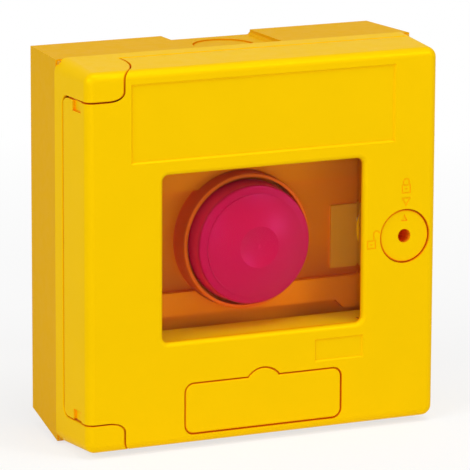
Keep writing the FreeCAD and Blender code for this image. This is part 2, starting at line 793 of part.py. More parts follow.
# Lock: disc and barrel, cam, clip, ring
def build_lock():
    front = "(box_depth - lock_disc_setback)"
    behind = f"({front} - lock_disc_thickness)"
    end = "(box_depth - lock_length)"
    tail_end = "(box_depth - lock_length - cam_thickness - lock_clip_thickness)"
    ring = "(box_depth - lock_ring_setback)"
    ring_back = "(box_depth - lock_ring_setback - lock_ring_width)"
    groove = "(lock_barrel_radius - lock_ring_groove)"
    body = turned_piece("lock_barrel", [
        (front, "key_hole_radius"), (f"{front} - key_hole_depth", "key_hole_radius"),
        (f"{front} - key_hole_depth", "0"), (tail_end, "0"), (tail_end, "tail_radius"),
        (end, "tail_radius"), (end, "lock_barrel_radius"), (ring_back, "lock_barrel_radius"),
        (ring_back, groove), (ring, groove), (ring, "lock_barrel_radius"),
        (behind, "lock_barrel_radius"), (behind, "lock_disc_radius"),
        (f"{front} - lock_disc_bevel", "lock_disc_radius"), (front, "lock_disc_radius - lock_disc_bevel")])
    flat = new_sketch(body, end)
    rectangle(flat, f"(-tail_radius - {BEYOND})", f"(tail_radius + {BEYOND})", "tail_flat",
              f"(tail_radius + {BEYOND})")
    rectangle(flat, f"(-tail_radius - {BEYOND})", f"(tail_radius + {BEYOND})",
              f"(-tail_radius - {BEYOND})", "-tail_flat")
    pocket(body, flat, "cam_thickness")
    mark = new_sketch(body, front)
    outline(mark, [("-key_mark_size / 2", "key_mark_rise - key_mark_size / 2"),
                   ("key_mark_size / 2", "key_mark_rise - key_mark_size / 2"),
                   ("0", "key_mark_rise + key_mark_size / 2")])
    pocket(body, mark, "key_mark_depth")
    shift_body(body, x=LOCK_X)
    # Sealing ring in the barrel's groove, with bevelled outer edges
    outer = "(lock_barrel_radius - lock_clearance)"
    shoulder = f"({outer} - lock_ring_bevel)"
    body = turned_piece("lock_ring", [
        (ring, shoulder), (f"{ring} - lock_ring_bevel", outer), (f"{ring_back} + lock_ring_bevel", outer),
        (ring_back, shoulder), (ring_back, groove), (ring, groove)])
    shift_body(body, x=LOCK_X)
    # Cam: a tongue with a rounded root, flat-sided hole
    body = new_body("lock_cam")
    sketch = new_sketch(body, end)
    circle(sketch, "0", "0", "cam_root_radius")
    pad(body, sketch, "cam_thickness")
    sketch = new_sketch(body, end)
    rectangle(sketch, "0", "cam_reach", "-cam_width / 2", "cam_width / 2")
    pad(body, sketch, "cam_thickness")
    slot = new_sketch(body, end)
    flat_half = "(tail_radius * tail_radius - tail_flat * tail_flat) ^ 0.5"
    stadium(slot, "tail_flat", "tail_radius", flat_half)
    pocket(body, slot, "cam_thickness")
    shift_body(body, x=LOCK_X)
    body = new_body("lock_clip")
    sketch = new_sketch(body, f"({end} - cam_thickness)")
    circle(sketch, "0", "0", "lock_clip_radius")
    circle(sketch, "0", "0", "tail_radius")
    pad(body, sketch, "lock_clip_thickness")
    shift_body(body, x=LOCK_X)


# A round hole with two flats, above and below
def stadium(sketch, flat, radius, half):
    high, wide, size = number(flat), number(half), number(radius)
    angle = math.asin(high / size)
    full = Part.Circle(Vector(0, 0, 0), Vector(0, 0, 1), size)
    right = sketch.addGeometry(Part.ArcOfCircle(full, -angle, angle))
    left = sketch.addGeometry(Part.ArcOfCircle(full, math.pi - angle, math.pi + angle))
    top = sketch.addGeometry(Part.LineSegment(Vector(wide, high, 0), Vector(-wide, high, 0)))
    foot = sketch.addGeometry(Part.LineSegment(Vector(-wide, -high, 0), Vector(wide, -high, 0)))
    for first, last in (((right, 2), (top, 1)), ((top, 2), (left, 1)), ((left, 2), (foot, 1)),
                        ((foot, 2), (right, 1))):
        sketch.addConstraint(Sketcher.Constraint("Coincident", *first, *last))
    for arc in (right, left):
        sketch.addConstraint(Sketcher.Constraint("Coincident", arc, 3, -1, 1))
        bind(sketch, "Radius", (arc,), radius)
    for line, level in ((top, flat), (foot, f"-({flat})")):
        sketch.addConstraint(Sketcher.Constraint("Horizontal", line))
        bind(sketch, "DistanceY", (-1, 1, line, 1), level)


# Frame that carries the door, the lock strike and the inner cover
def build_front_frame():
    body = new_body("front_frame")
    # Front part of the envelope, from which the hinge blocks remain
    sketch = new_sketch(body, "box_depth")
    centred(sketch, FACE_HALF_WIDTH, FACE_HALF_HEIGHT, "corner_round")
    pad(body, sketch, f"box_depth - {LIP_STANDOFF}", taper=FACE_TAPER)
    fillet(body, flat_edges("box_depth"), "front_round")
    sketch = new_sketch(body, "0", "YZ_Plane")
    lip, front = f"-{LIP_STANDOFF}", f"-(box_depth + {BEYOND})"
    round_end = "lip_corner_round"
    outline(sketch, [(front, f"-{BLOCK_Z}"), (lip, f"-{BLOCK_Z}", round_end), (lip, BLOCK_Z, round_end),
                     (front, BLOCK_Z)])
    pocket(body, sketch)
    # Round side of the blocks, seen from above
    sketch = new_sketch(body, "0", "XY_Plane")
    block_arc(sketch)
    pocket(body, sketch)
    # Rounded inner corner of the blocks, turned about the hinge axis
    sketch = new_sketch(body, HINGE_STANDOFF)
    axis = hinge_axis(sketch)
    block_corner(sketch)
    rounding = turn(body, sketch, axis, cut=True)
    mirror(body, [rounding], "XY_Plane", False)
    # Skirt with a lip round the door's rear edge
    sketch = new_sketch(body, LIP_STANDOFF)
    centred(sketch, outside(RIM_HALF_WIDTH, LIP_STANDOFF), outside(RIM_HALF_HEIGHT, LIP_STANDOFF),
            f"corner_round + {FACE_SLOPE} * (box_depth - {LIP_STANDOFF})")
    pad(body, sketch, f"{LIP_STANDOFF} - back_box_depth", taper=FACE_TAPER)
    sketch = new_sketch(body, f"box_depth + {BEYOND}")
    wide = f"({outside(RIM_HALF_WIDTH, LIP_STANDOFF)} - lip_thickness)"
    tall = f"({outside(RIM_HALF_HEIGHT, LIP_STANDOFF)} - lip_thickness)"
    beside = f"({HINGE_X} + block_radius)"
    outline(sketch, [(f"-{wide}", f"-{BLOCK_Z}"), (beside, f"-{BLOCK_Z}"), (beside, f"-{tall}"),
                     (wide, f"-{tall}", "corner_round"), (wide, tall, "corner_round"), (beside, tall),
                     (beside, BLOCK_Z), (f"-{wide}", BLOCK_Z)])
    pocket(body, sketch, f"box_depth + {BEYOND} - {FLOOR_STANDOFF}")
    fillet(body, lip_edges(), "lip_round")
    # Opening for the inner cover, spigot and ledge behind it
    sketch = new_sketch(body, "back_box_depth")
    centred(sketch, f"({OPENING_X} + spigot_thickness)", f"({OPENING_Z} + spigot_thickness)", "cover_round")
    pad(body, sketch, "spigot_depth")
    sketch = new_sketch(body, FLOOR_STANDOFF)
    centred(sketch, OPENING_X, OPENING_Z, "cover_round")
    pocket(body, sketch, f"{FLOOR_STANDOFF} - {COVER_BACK}")
    sketch = new_sketch(body, FLOOR_STANDOFF)
    centred(sketch, f"({OPENING_X} - ledge_width)", f"({OPENING_Z} - ledge_width)", "cover_round")
    pocket(body, sketch, f"{FLOOR_STANDOFF} - {LEDGE_BACK} + {BEYOND}")
    # Screw holes in the ledge, groove for the box gasket
    sketch = new_sketch(body, COVER_BACK)
    for x in (f"-{POST_X}", POST_X):
        for z in (f"-{POST_Z}", POST_Z):
            circle(sketch, x, z, "cover_screw_hole")
    pocket(body, sketch, f"ledge_thickness + {BEYOND}")
    sketch = new_sketch(body, "back_box_depth")
    ring = "(gasket_inset + gasket_groove_width)"
    centred(sketch, f"({RIM_HALF_WIDTH} - gasket_inset)", f"({RIM_HALF_HEIGHT} - gasket_inset)")
    centred(sketch, f"({RIM_HALF_WIDTH} - {ring})", f"({RIM_HALF_HEIGHT} - {ring})")
    pocket(body, sketch, "gasket_groove_depth", along=1)
    # Bores for the hinge pins in the blocks
    sketch = new_sketch(body, BLOCK_Z, "XY_Plane")
    circle(sketch, HINGE_X, f"-{HINGE_STANDOFF}", "pin_radius")
    bore = pocket(body, sketch, "pin_grip", along=1)
    mirror(body, [bore], "XY_Plane", False)
    # Strike tab with a slot for the lock's cam
    tip = f"({LOCK_X} + cam_reach + strike_gap)"
    cam_front = "(box_depth - lock_length)"
    sketch = new_sketch(body, FLOOR_STANDOFF)
    rectangle(sketch, tip, f"({tip} + strike_thickness)", "-strike_width / 2", "strike_width / 2")
    pad(body, sketch, f"{cam_front} + strike_end_gap - {FLOOR_STANDOFF}", along=1)
    sketch = new_sketch(body, f"({tip} - {BEYOND} / 2)", "YZ_Plane")
    rectangle(sketch, f"-({cam_front} + strike_slot_gap)",
              f"-({cam_front} - cam_thickness - strike_slot_gap)", "-strike_slot_width / 2",
              "strike_slot_width / 2")
    pocket(body, sketch, BEYOND, along=1)


# Front outer edges of the lip, between the hinge blocks and all round the right-hand side
def lip_edges():
    level = -number(LIP_STANDOFF)
    width = number(outside(RIM_HALF_WIDTH, LIP_STANDOFF))
    height = number(outside(RIM_HALF_HEIGHT, LIP_STANDOFF))
    block = number(BLOCK_Z)

    def chosen(edge):
        box = edge.BoundBox
        flat = abs(box.YMin - level) < 1e-3 and abs(box.YMax - level) < 1e-3
        outer = max(abs(box.XMin) - width, abs(box.XMax) - width,
                    abs(box.ZMin) - height, abs(box.ZMax) - height) > -1e-2
        under = box.XMax < 0 and max(abs(box.ZMin), abs(box.ZMax)) > block
        straight = edge.Curve.TypeId == "Part::GeomLine" and edge.Length > 1
        return flat and outer and straight and not (under and box.XLength < 1)
    return chosen


# Everything to the right of the blocks' round side: an arc about the hinge axis, closed far outside
def block_arc(sketch):
    radius, x, y = number("block_radius"), number(HINGE_X), -number(HINGE_STANDOFF)
    lip, front = -number(LIP_STANDOFF), -number(f"box_depth + {MARGIN}")
    low, high = math.asin((front - y) / radius), math.asin((lip - y) / radius)
    arc = Part.ArcOfCircle(Part.Circle(Vector(x, y, 0), Vector(0, 0, 1), radius), low, high)
    bend = sketch.addGeometry(arc)
    far = number(f"{RIM_HALF_WIDTH} + {BEYOND}")
    begin, finish = arc.EndPoint, arc.StartPoint
    spots = [begin, Vector(far, lip, 0), Vector(far, front, 0), finish]
    lines = [sketch.addGeometry(Part.LineSegment(a, b)) for a, b in zip(spots, spots[1:])]
    for first, last in (((bend, 2), (lines[0], 1)), ((lines[0], 2), (lines[1], 1)),
                        ((lines[1], 2), (lines[2], 1)), ((lines[2], 2), (bend, 1))):
        sketch.addConstraint(Sketcher.Constraint("Coincident", *first, *last))
    place(sketch, bend, 3, HINGE_X, f"-{HINGE_STANDOFF}")
    bind(sketch, "Radius", (bend,), "block_radius")
    place(sketch, lines[1], 1, f"({RIM_HALF_WIDTH} + {BEYOND})", f"-{LIP_STANDOFF}")
    place(sketch, lines[1], 2, f"({RIM_HALF_WIDTH} + {BEYOND})", f"-(box_depth + {MARGIN})")
    sketch.addConstraint(Sketcher.Constraint("Horizontal", lines[0]))
    sketch.addConstraint(Sketcher.Constraint("Horizontal", lines[2]))


# What the rounding of a block's inner corner takes away, in the plane of the hinge axis
def block_corner(sketch):
    size = number("block_round")
    edge = number(f"{HINGE_X} + block_radius")
    level = number(BLOCK_Z)
    centre = Vector(edge - size, level + size, 0)
    quarter = Part.ArcOfCircle(Part.Circle(centre, Vector(0, 0, 1), size), -math.pi / 2, 0)
    bend = sketch.addGeometry(quarter)
    far, foot = edge + number(MARGIN), level - number(MARGIN)
    spots = [Vector(edge, level + size, 0), Vector(far, level + size, 0), Vector(far, foot, 0),
             Vector(edge - size, foot, 0), Vector(edge - size, level, 0)]
    lines = [sketch.addGeometry(Part.LineSegment(a, b)) for a, b in zip(spots, spots[1:])]
    sketch.addConstraint(Sketcher.Constraint("Coincident", bend, 2, lines[0], 1))
    for first, last in zip(lines, lines[1:]):
        sketch.addConstraint(Sketcher.Constraint("Coincident", first, 2, last, 1))
    sketch.addConstraint(Sketcher.Constraint("Coincident", lines[3], 2, bend, 1))
    right = f"({HINGE_X} + block_radius)"
    place(sketch, bend, 3, f"({right} - block_round)", f"({BLOCK_Z} + block_round)")
    place(sketch, lines[0], 1, right, f"({BLOCK_Z} + block_round)")
    place(sketch, lines[1], 1, f"({right} + {MARGIN})", f"({BLOCK_Z} + block_round)")
    place(sketch, lines[2], 1, f"({right} + {MARGIN})", f"({BLOCK_Z} - {MARGIN})")
    place(sketch, lines[3], 1, f"({right} - block_round)", f"({BLOCK_Z} - {MARGIN})")
    bind(sketch, "DistanceX", (-1, 1, lines[3], 2), f"({right} - block_round)")


def build_hinge_pins():
    body = new_body("hinge_pins")
    sketch = new_sketch(body, f"({BLOCK_Z} - pin_reach)", "XY_Plane")
    circle(sketch, HINGE_X, f"-{HINGE_STANDOFF}", "pin_radius")
    pin = pad(body, sketch, "pin_reach + pin_grip", along=1)
    mirror(body, [pin], "XY_Plane", True)


def build_box_gasket():
    body = new_body("box_gasket")
    sketch = new_sketch(body, "back_box_depth")
    outer = "(gasket_inset + gasket_play)"
    inner = "(gasket_inset + gasket_groove_width - gasket_play)"
    for margin in (outer, inner):
        centred(sketch, f"({RIM_HALF_WIDTH} - {margin})", f"({RIM_HALF_HEIGHT} - {margin})")
    pad(body, sketch, "gasket_groove_depth", along=1)


# Back box
def build_back_box():
    body = new_body("back_box")
    front_wide, front_tall = f"({RIM_HALF_WIDTH} - rim_inset)", f"({RIM_HALF_HEIGHT} - rim_inset)"
    rear_wide = f"({front_wide} - back_side_taper)"
    rear_foot, rear_head = f"({front_tall} - back_foot_taper)", f"({front_tall} - back_head_taper)"
    outer = [new_sketch(body, "back_box_depth"), new_sketch(body, "0")]
    rectangle(outer[0], f"-{front_wide}", front_wide, f"-{front_tall}", front_tall)
    rectangle(outer[1], f"-{rear_wide}", rear_wide, f"-{rear_foot}", rear_head)
    loft(body, outer, "AdditiveLoft")
    inner = [new_sketch(body, "back_box_depth"), new_sketch(body, "back_wall")]
    rectangle(inner[0], f"-({front_wide} - side_wall)", f"({front_wide} - side_wall)",
              f"-({front_tall} - side_wall)", f"({front_tall} - side_wall)")
    share = "(1 - back_wall / back_box_depth)"
    side = f"({front_wide} - side_wall - back_side_taper * {share})"
    rectangle(inner[1], f"-{side}", side, f"-({front_tall} - side_wall - back_foot_taper * {share})",
              f"({front_tall} - side_wall - back_head_taper * {share})")
    loft(body, inner, "SubtractiveLoft")
    # Screw posts and their pilot holes
    sketch = new_sketch(body, LEDGE_BACK)
    corners = [(x, z) for x in (f"-{POST_X}", POST_X) for z in (f"-{POST_Z}", POST_Z)]
    for x, z in corners:
        circle(sketch, x, z, "post_radius")
    pad(body, sketch, f"{LEDGE_BACK} - back_wall / 2")
    sketch = new_sketch(body, LEDGE_BACK)
    for x, z in corners:
        circle(sketch, x, z, "cover_screw_radius")
    pocket(body, sketch, "pilot_depth")
    # Cable entry: a shallow field in the top wall, backed from inside, with a knock-out
    floor = f"({rear_head} - entry_depth)"
    sketch = new_sketch(body, "back_wall / 2")
    rectangle(sketch, "(-entry_left - side_wall / 2)", "(entry_right + side_wall / 2)",
              f"({floor} - side_wall)", f"({rear_head} - side_wall / 2)")
    pad(body, sketch, "back_box_depth - back_wall / 2 - spigot_depth - entry_backing_gap", along=1)
    sketch = new_sketch(body, "0")
    top = f"({front_tall} + {BEYOND})"
    outline(sketch, [("-entry_left + entry_left_slope", floor), ("entry_right - entry_right_slope", floor),
                     ("entry_right", f"({floor} + entry_right_slope)"), ("entry_right", top),
                     ("-entry_left", top), ("-entry_left", rear_head)])
    pocket(body, sketch, "back_box_depth", along=1)
    sketch = new_sketch(body, floor, "XY_Plane")
    circle(sketch, "knockout_shift", "-knockout_standoff", "knockout_radius")
    pocket(body, sketch, "knockout_depth")
    sketch = new_sketch(body, f"({floor} - knockout_depth)", "XY_Plane")
    circle(sketch, "knockout_shift", "-knockout_standoff", "knockout_radius - knockout_rim")
    pad(body, sketch, "knockout_depth / 2", along=1)
    # Wall fixing holes with pads
    sketch = new_sketch(body, "back_wall / 2")
    holes = [(x, z) for x in ("-wall_hole_pitch_x / 2", "wall_hole_pitch_x / 2")
             for z in ("-wall_hole_pitch_z / 2", "wall_hole_pitch_z / 2")]
    for x, z in holes:
        circle(sketch, x, z, "wall_pad_radius")
    pad(body, sketch, "back_wall / 2 + wall_hole_pad", along=1)
    sketch = new_sketch(body, "0")
    for x, z in holes:
        circle(sketch, x, z, "wall_hole_radius")
    pocket(body, sketch, f"back_wall + wall_hole_pad + {BEYOND}", along=1)


def loft(body, sketches, kind):
    before = volume(body)
    step = body.newObject("PartDesign::" + kind, body.Label + "_loft")
    step.Profile = sketches[0]
    step.Sections = sketches[1:]
    step.Ruled = True
    return settle(body, step, before, kind == "AdditiveLoft")


# Inner cover with two raised bands
def build_inner_cover():
    body = new_body("inner_cover")
    sketch = new_sketch(body, COVER_STANDOFF)
    centred(sketch, COVER_HALF_WIDTH, COVER_HALF_HEIGHT, "cover_round")
    pad(body, sketch, "cover_thickness")
    wide, tall = COVER_HALF_WIDTH, COVER_HALF_HEIGHT
    sketch = new_sketch(body, COVER_STANDOFF)
    outline(sketch, [(f"-{wide}", "top_band_rise"), (wide, "top_band_rise"), (wide, tall, "cover_round"),
                     (f"-{wide}", tall, "cover_round")])
    pad(body, sketch, "band_height", along=1)
    sketch = new_sketch(body, COVER_STANDOFF)
    outline(sketch, [(f"-{wide}", "-low_band_foot"), ("band_step_shift", "-low_band_foot"),
                     ("band_step_shift + band_step", "-low_band_foot - band_step"),
                     (wide, "-low_band_foot - band_step"), (wide, "-low_band_top"),
                     (f"-{wide}", "-low_band_top")])
    pad(body, sketch, "band_height", along=1)
    # The bands are hollow behind
    sketch = new_sketch(body, COVER_BACK)
    clear = "(collar_radius + collar_relief + band_shell)"
    rectangle(sketch, f"-({wide} - ledge_width)", f"({wide} - ledge_width)",
              clear, f"({tall} - ledge_width)")
    pocket(body, sketch, "cover_thickness + band_height - band_shell", along=1)
    # Round relief for the collar, hole for the operator, screw holes with head recesses
    sketch = new_sketch(body, f"({BAND_STANDOFF} + {BEYOND})")
    circle(sketch, "0", "0", "collar_radius + collar_relief")
    pocket(body, sketch, f"band_height + {BEYOND}")
    sketch = new_sketch(body, COVER_STANDOFF)
    circle(sketch, "0", "0", "operator_radius + operator_hole_gap")
    pocket(body, sketch, f"cover_thickness + {BEYOND}")
    corners = [(x, z) for x in (f"-{POST_X}", POST_X) for z in (f"-{POST_Z}", POST_Z)]
    sketch = new_sketch(body, BAND_STANDOFF)
    for x, z in corners[1::2]:
        circle(sketch, x, z, "cover_head_recess")
    pocket(body, sketch, "band_height")
    sketch = new_sketch(body, COVER_STANDOFF)
    for x, z in corners:
        circle(sketch, x, z, "cover_screw_hole")
    pocket(body, sketch, f"cover_thickness + {BEYOND}")


def build_cover_screws():
    corners = [(x, z) for x in (f"-{POST_X}", POST_X) for z in (f"-{POST_Z}", POST_Z)]
    four_screws("cover_screws", corners, COVER_STANDOFF, "cover_screw_head_radius", "cover_screw_head",
                "cover_screw_radius", "cover_screw_length", False)


def build_insert_plate():
    body = new_body("insert_plate")
    sketch = new_sketch(body, COVER_STANDOFF)
    right = f"({COVER_HALF_WIDTH} - insert_inset)"
    rectangle(sketch, f"({right} - insert_width)", right, "insert_top - insert_height", "insert_top")
    pad(body, sketch, "insert_thickness", along=1)


# Operator: collar and barrel, seal, nut
def build_operator():
    front = f"({COVER_STANDOFF} + collar_height)"
    base = f"({COVER_STANDOFF} + base_thickness)"
    inner = "(collar_radius - collar_wall)"
    seal = f"({COVER_STANDOFF} + seal_depth)"
    outer_groove, inner_groove = "(seal_outer + seal_play)", "(seal_inner - seal_play)"
    end = BARREL_END
    turned_piece("operator_body", [
        (front, inner), (base, inner), (base, "operator_bore"), (f"({end} + operator_end)", "operator_bore"),
        (f"({end} + operator_end)", "stem_radius + stem_clearance"), (end, "stem_radius + stem_clearance"),
        (end, "operator_radius"), (COVER_STANDOFF, "operator_radius"), (COVER_STANDOFF, inner_groove),
        (seal, inner_groove), (seal, outer_groove), (COVER_STANDOFF, outer_groove),
        (COVER_STANDOFF, "collar_radius"), (front, "collar_radius", "collar_edge_round")][::-1])
    turned_piece("operator_seal", [
        (seal, "seal_inner"), (COVER_STANDOFF, "seal_inner"), (COVER_STANDOFF, "seal_outer"),
        (seal, "seal_outer")])
    body = new_body("operator_nut")
    sketch = new_sketch(body, COVER_BACK)
    hexagon(sketch, "nut_flats")
    circle(sketch, "0", "0", "operator_radius + nut_gap")
    pad(body, sketch, "nut_thickness")


def hexagon(sketch, flats):
    reach = f"({flats} / 3 ^ 0.5)"
    outline(sketch, [(f"2 * {reach}", "0"), (reach, flats), (f"-{reach}", flats), (f"-2 * {reach}", "0"),
                     (f"-{reach}", f"-{flats}"), (reach, f"-{flats}")])


# Palm head: dome with a dimple, fine step and rounded edge, hollow behind with a hub
def build_push_head():
    body = new_body("push_head")
    sketch = new_sketch(body, "0", "YZ_Plane")
    shoulder = f"({HEAD_FRONT} - head_rise - head_step)"
    bevel = f"({shoulder} - head_bevel)"
    roof = f"({shoulder} - head_shell)"
    skirt = "(head_radius - head_shell)"
    spots = [
        (HUB_REAR, "stem_radius"), (HUB_REAR, "hub_radius"), (roof, "hub_radius"), (roof, skirt),
        (HEAD_REAR, skirt), (HEAD_REAR, "head_radius - head_rear_bevel"),
        (f"({HEAD_REAR} + head_rear_bevel)", "head_radius"), (bevel, "head_bevel_radius", "head_edge_round"),
        (shoulder, "head_step_radius"), (HEAD_FRONT, "head_step_radius"), (HEAD_FRONT, "0"),
        (f"({HUB_REAR} + stem_grip)", "0"), (f"({HUB_REAR} + stem_grip)", "stem_radius")]
    outline(sketch, [(f"-{spot[0]}",) + tuple(spot[1:]) for spot in spots])
    turn(body, sketch)
    sketch = new_sketch(body, "0", "YZ_Plane")
    dome_cut(sketch)
    turn(body, sketch, cut=True)


# What the dome and its dimple take away: two arcs about centres on the axis, closed in front of them
def dome_cut(sketch):
    curve = "((head_step_radius * head_step_radius + head_rise * head_rise) / (2 * head_rise))"
    rim = f"({HEAD_FRONT} - {curve} + ({curve} * {curve} - dimple_radius * dimple_radius) ^ 0.5)"
    bottom = f"({rim} - dimple_depth)"
    edge = "(head_step_radius + head_step)"
    hollow = number("(dimple_radius * dimple_radius + dimple_depth * dimple_depth) / (2 * dimple_depth)")
    radius, centre = number(curve), Vector(-number(f"{HEAD_FRONT} - {curve}"), 0, 0)
    lip = Vector(-number(rim), number("dimple_radius"), 0)
    outer = Vector(centre.x - (radius ** 2 - number(edge) ** 2) ** 0.5, number(edge), 0)
    angles = [math.atan2(spot.y, spot.x - centre.x) for spot in (outer, lip)]
    dome = sketch.addGeometry(Part.ArcOfCircle(Part.Circle(centre, Vector(0, 0, 1), radius), *angles))
    middle = Vector(-number(bottom) - hollow, 0, 0)
    dimple = sketch.addGeometry(Part.ArcOfCircle(
        Part.Circle(middle, Vector(0, 0, 1), hollow), 0, math.atan2(lip.y, lip.x - middle.x)))
    front = -number(f"{HEAD_FRONT} + {MARGIN}")
    spots = [outer, Vector(front, outer.y, 0), Vector(front, 0, 0), Vector(-number(bottom), 0, 0)]
    lines = [sketch.addGeometry(Part.LineSegment(a, b)) for a, b in zip(spots, spots[1:])]
    for first, last in (((dome, 1), (lines[0], 1)), ((lines[0], 2), (lines[1], 1)),
                        ((lines[1], 2), (lines[2], 1)), ((lines[2], 2), (dimple, 1)),
                        ((dimple, 2), (dome, 2))):
        sketch.addConstraint(Sketcher.Constraint("Coincident", *first, *last))
    place(sketch, dome, 3, f"-({HEAD_FRONT} - {curve})", "0")
    bind(sketch, "Radius", (dome,), curve)
    bind(sketch, "DistanceY", (-1, 1, dome, 1), edge)
    bind(sketch, "DistanceY", (-1, 1, dome, 2), "dimple_radius")
    bind(sketch, "DistanceY", (-1, 1, dimple, 3), "0")
    place(sketch, dimple, 1, f"-{bottom}", "0")
    sketch.addConstraint(Sketcher.Constraint("Horizontal", lines[0]))
    place(sketch, lines[1], 2, f"-({HEAD_FRONT} + {MARGIN})", "0")
    sketch.addConstraint(Sketcher.Constraint("Vertical", lines[1]))


def build_push_stem():
    groove_front = f"({BARREL_END} - stem_clip_gap)"
    groove_back = f"({groove_front} - stem_clip_thickness)"
    neck = "(stem_radius - stem_clip_bite)"
    turned_piece("push_stem", [
        (f"({HUB_REAR} + stem_grip)", "0"), (CARRIER_BACK, "0"), (CARRIER_BACK, "stem_radius"),
        (groove_back, "stem_radius"), (groove_back, neck), (groove_front, neck),
        (groove_front, "stem_radius"), (f"({HUB_REAR} + stem_grip)", "stem_radius")])
    turned_piece("stem_clip", [
        (groove_front, neck), (groove_back, neck), (groove_back, "stem_clip_radius"),
        (groove_front, "stem_clip_radius")])


# Contacts behind the operator
def build_contacts():
    sides = ("-", "")
    body = new_body("contact_carrier")
    sketch = new_sketch(body, CARRIER_FRONT)
    centred(sketch, "(carrier_length / 2)", "(carrier_width / 2)")
    circle(sketch, "0", "0", "stem_radius")
    pad(body, sketch, "carrier_thickness")
    sketch = new_sketch(body, CARRIER_BACK)
    for side in sides:
        circle(sketch, side + PLUNGER_X, "0", "plunger_radius")
    pad(body, sketch, f"{CARRIER_BACK} - {BRIDGE_FRONT}")
    body = new_body("contact_bridges")
    sketch = new_sketch(body, BRIDGE_FRONT)
    for side in sides:
        rectangle(sketch, f"({side}{PLUNGER_X} - bridge_width / 2)",
                  f"({side}{PLUNGER_X} + bridge_width / 2)", "-bridge_length / 2", "bridge_length / 2")
    pad(body, sketch, "bridge_thickness")
    # Bracket on the end of the barrel
    body = new_body("contact_mount")
    sketch = new_sketch(body, f"({BARREL_END} + mount_plate)")
    half = "(mount_width / 2)"
    long = "(block_length / 2)"
    centred(sketch, half, long, "mount_side / 2")
    circle(sketch, "0", "0", "operator_radius + mount_hole_gap")
    pad(body, sketch, "mount_plate")
    sketch = new_sketch(body, f"({BARREL_END} + mount_plate / 2)")
    rectangle(sketch, f"-{half}", f"(mount_side - {half})", f"-{long}", long)
    rectangle(sketch, f"({half} - mount_side)", half, f"-{long}", long)
    pad(body, sketch, f"{BARREL_END} + mount_plate / 2 - {BLOCK_BACK}")
    build_contact_blocks(sides)


def build_contact_blocks(sides):
    body = new_body("contact_blocks")
    sketch = new_sketch(body, BLOCK_FRONT)
    for side in sides:
        rectangle(sketch, f"({side}{PLUNGER_X} - block_width / 2)",
                  f"({side}{PLUNGER_X} + block_width / 2)", "-block_length / 2", "block_length / 2")
    pad(body, sketch, f"{BLOCK_FRONT} - {BLOCK_BACK}")
    sketch = new_sketch(body, BLOCK_INNER)
    for side in sides:
        rectangle(sketch, f"({side}{PLUNGER_X} - block_width / 2 + block_wall)",
                  f"({side}{PLUNGER_X} + block_width / 2 - block_wall)",
                  "(block_wall - block_length / 2)", "(block_length / 2 - block_wall)")
    pocket(body, sketch, BLOCK_INNER)
    sketch = new_sketch(body, BLOCK_FRONT)
    for side in sides:
        circle(sketch, side + PLUNGER_X, "0", "plunger_radius + plunger_gap")
        for level in sides:
            circle(sketch, side + PLUNGER_X, level + TERMINAL_Z, "terminal_radius")
    pocket(body, sketch, "block_wall")
    # Fixed contacts: normally closed in front of the bridges, normally open behind them
    outer = "(block_length / 2 - block_wall)"
    open_front = f"({BRIDGE_FRONT} - bridge_thickness - travel - open_contact_gap)"
    for label, standoff, holed in (("closed_contacts", BLOCK_INNER, True),
                                   ("open_contacts", open_front, False)):
        body = new_body(label)
        sketch = new_sketch(body, standoff)
        for side in sides:
            left = f"({side}{PLUNGER_X} - contact_width / 2)"
            right = f"({side}{PLUNGER_X} + contact_width / 2)"
            rectangle(sketch, left, right, "contact_inner", outer)
            rectangle(sketch, left, right, f"-{outer}", "-contact_inner")
            for level in sides if holed else ():
                circle(sketch, side + PLUNGER_X, level + TERMINAL_Z, "terminal_radius")
        pad(body, sketch, "contact_thickness")
    spots = [(side + PLUNGER_X, level + TERMINAL_Z) for side in sides for level in sides]
    four_screws("terminal_screws", spots, BLOCK_FRONT, "terminal_head_radius", "terminal_head",
                "terminal_radius", "terminal_length", False)


# Return spring: a coil of short straight lengths, closed section swept with mitred joints
def build_return_spring():
    rear = number(f"{BARREL_END} + operator_end + spring_end_gap + spring_wire / 2")
    front = number(f"{HUB_REAR} - spring_end_gap - spring_wire / 2")
    radius, wire, turns = number("spring_radius"), number("spring_wire"), number("spring_turns")
    steps, sides = 12, 6
    total = int(turns * steps)
    spots = []
    for step in range(total + 1):
        angle = 2 * math.pi * step / steps
        standoff = front + (rear - front) * step / total
        spots.append(Vector(radius * math.cos(angle), -standoff, radius * math.sin(angle)))
    along = (spots[1] - spots[0]).normalize()
    outward = Vector(1, 0, 0)
    across = along.cross(outward).normalize()
    ring = []
    for side in range(sides):
        angle = 2 * math.pi * side / sides
        ring.append(spots[0] + (outward * math.cos(angle) + across * math.sin(angle)) * (wire / 2))
    ring.append(ring[0])
    sweep = Part.BRepOffsetAPI.MakePipeShell(Part.makePolygon(spots))
    sweep.setTransitionMode(1)
    sweep.add(Part.makePolygon(ring))
    sweep.build()
    sweep.makeSolid()
    spring = doc.addObject("Part::Feature", "return_spring")
    spring.Label = "return_spring"
    spring.Shape = sweep.shape()
    spring.Placement = FreeCAD.Placement()
    nodes.append(spring)


def write_parts():
    doc.recompute()
    for item in doc.Objects:
        if "Invalid" in item.State or "Error" in item.State:
            raise RuntimeError(f"{item.Name} is {item.State}")
    os.makedirs("parts", exist_ok=True)
    facets = 0
    for node in nodes:
        if node.Shape.isNull() or not node.Shape.isValid():
            raise RuntimeError(f"{node.Label} has no valid shape")
        count = len(node.Shape.tessellate(0.1)[1])
        facets += count
        node.Shape.exportStep(f"parts/{node.Label}.step")
        print(f"{node.Label}: {len(node.Shape.Solids)} solids, {node.Shape.Volume:.1f} mm3, {count} facets")
    print(f"{len(nodes)} nodes, {facets} facets")


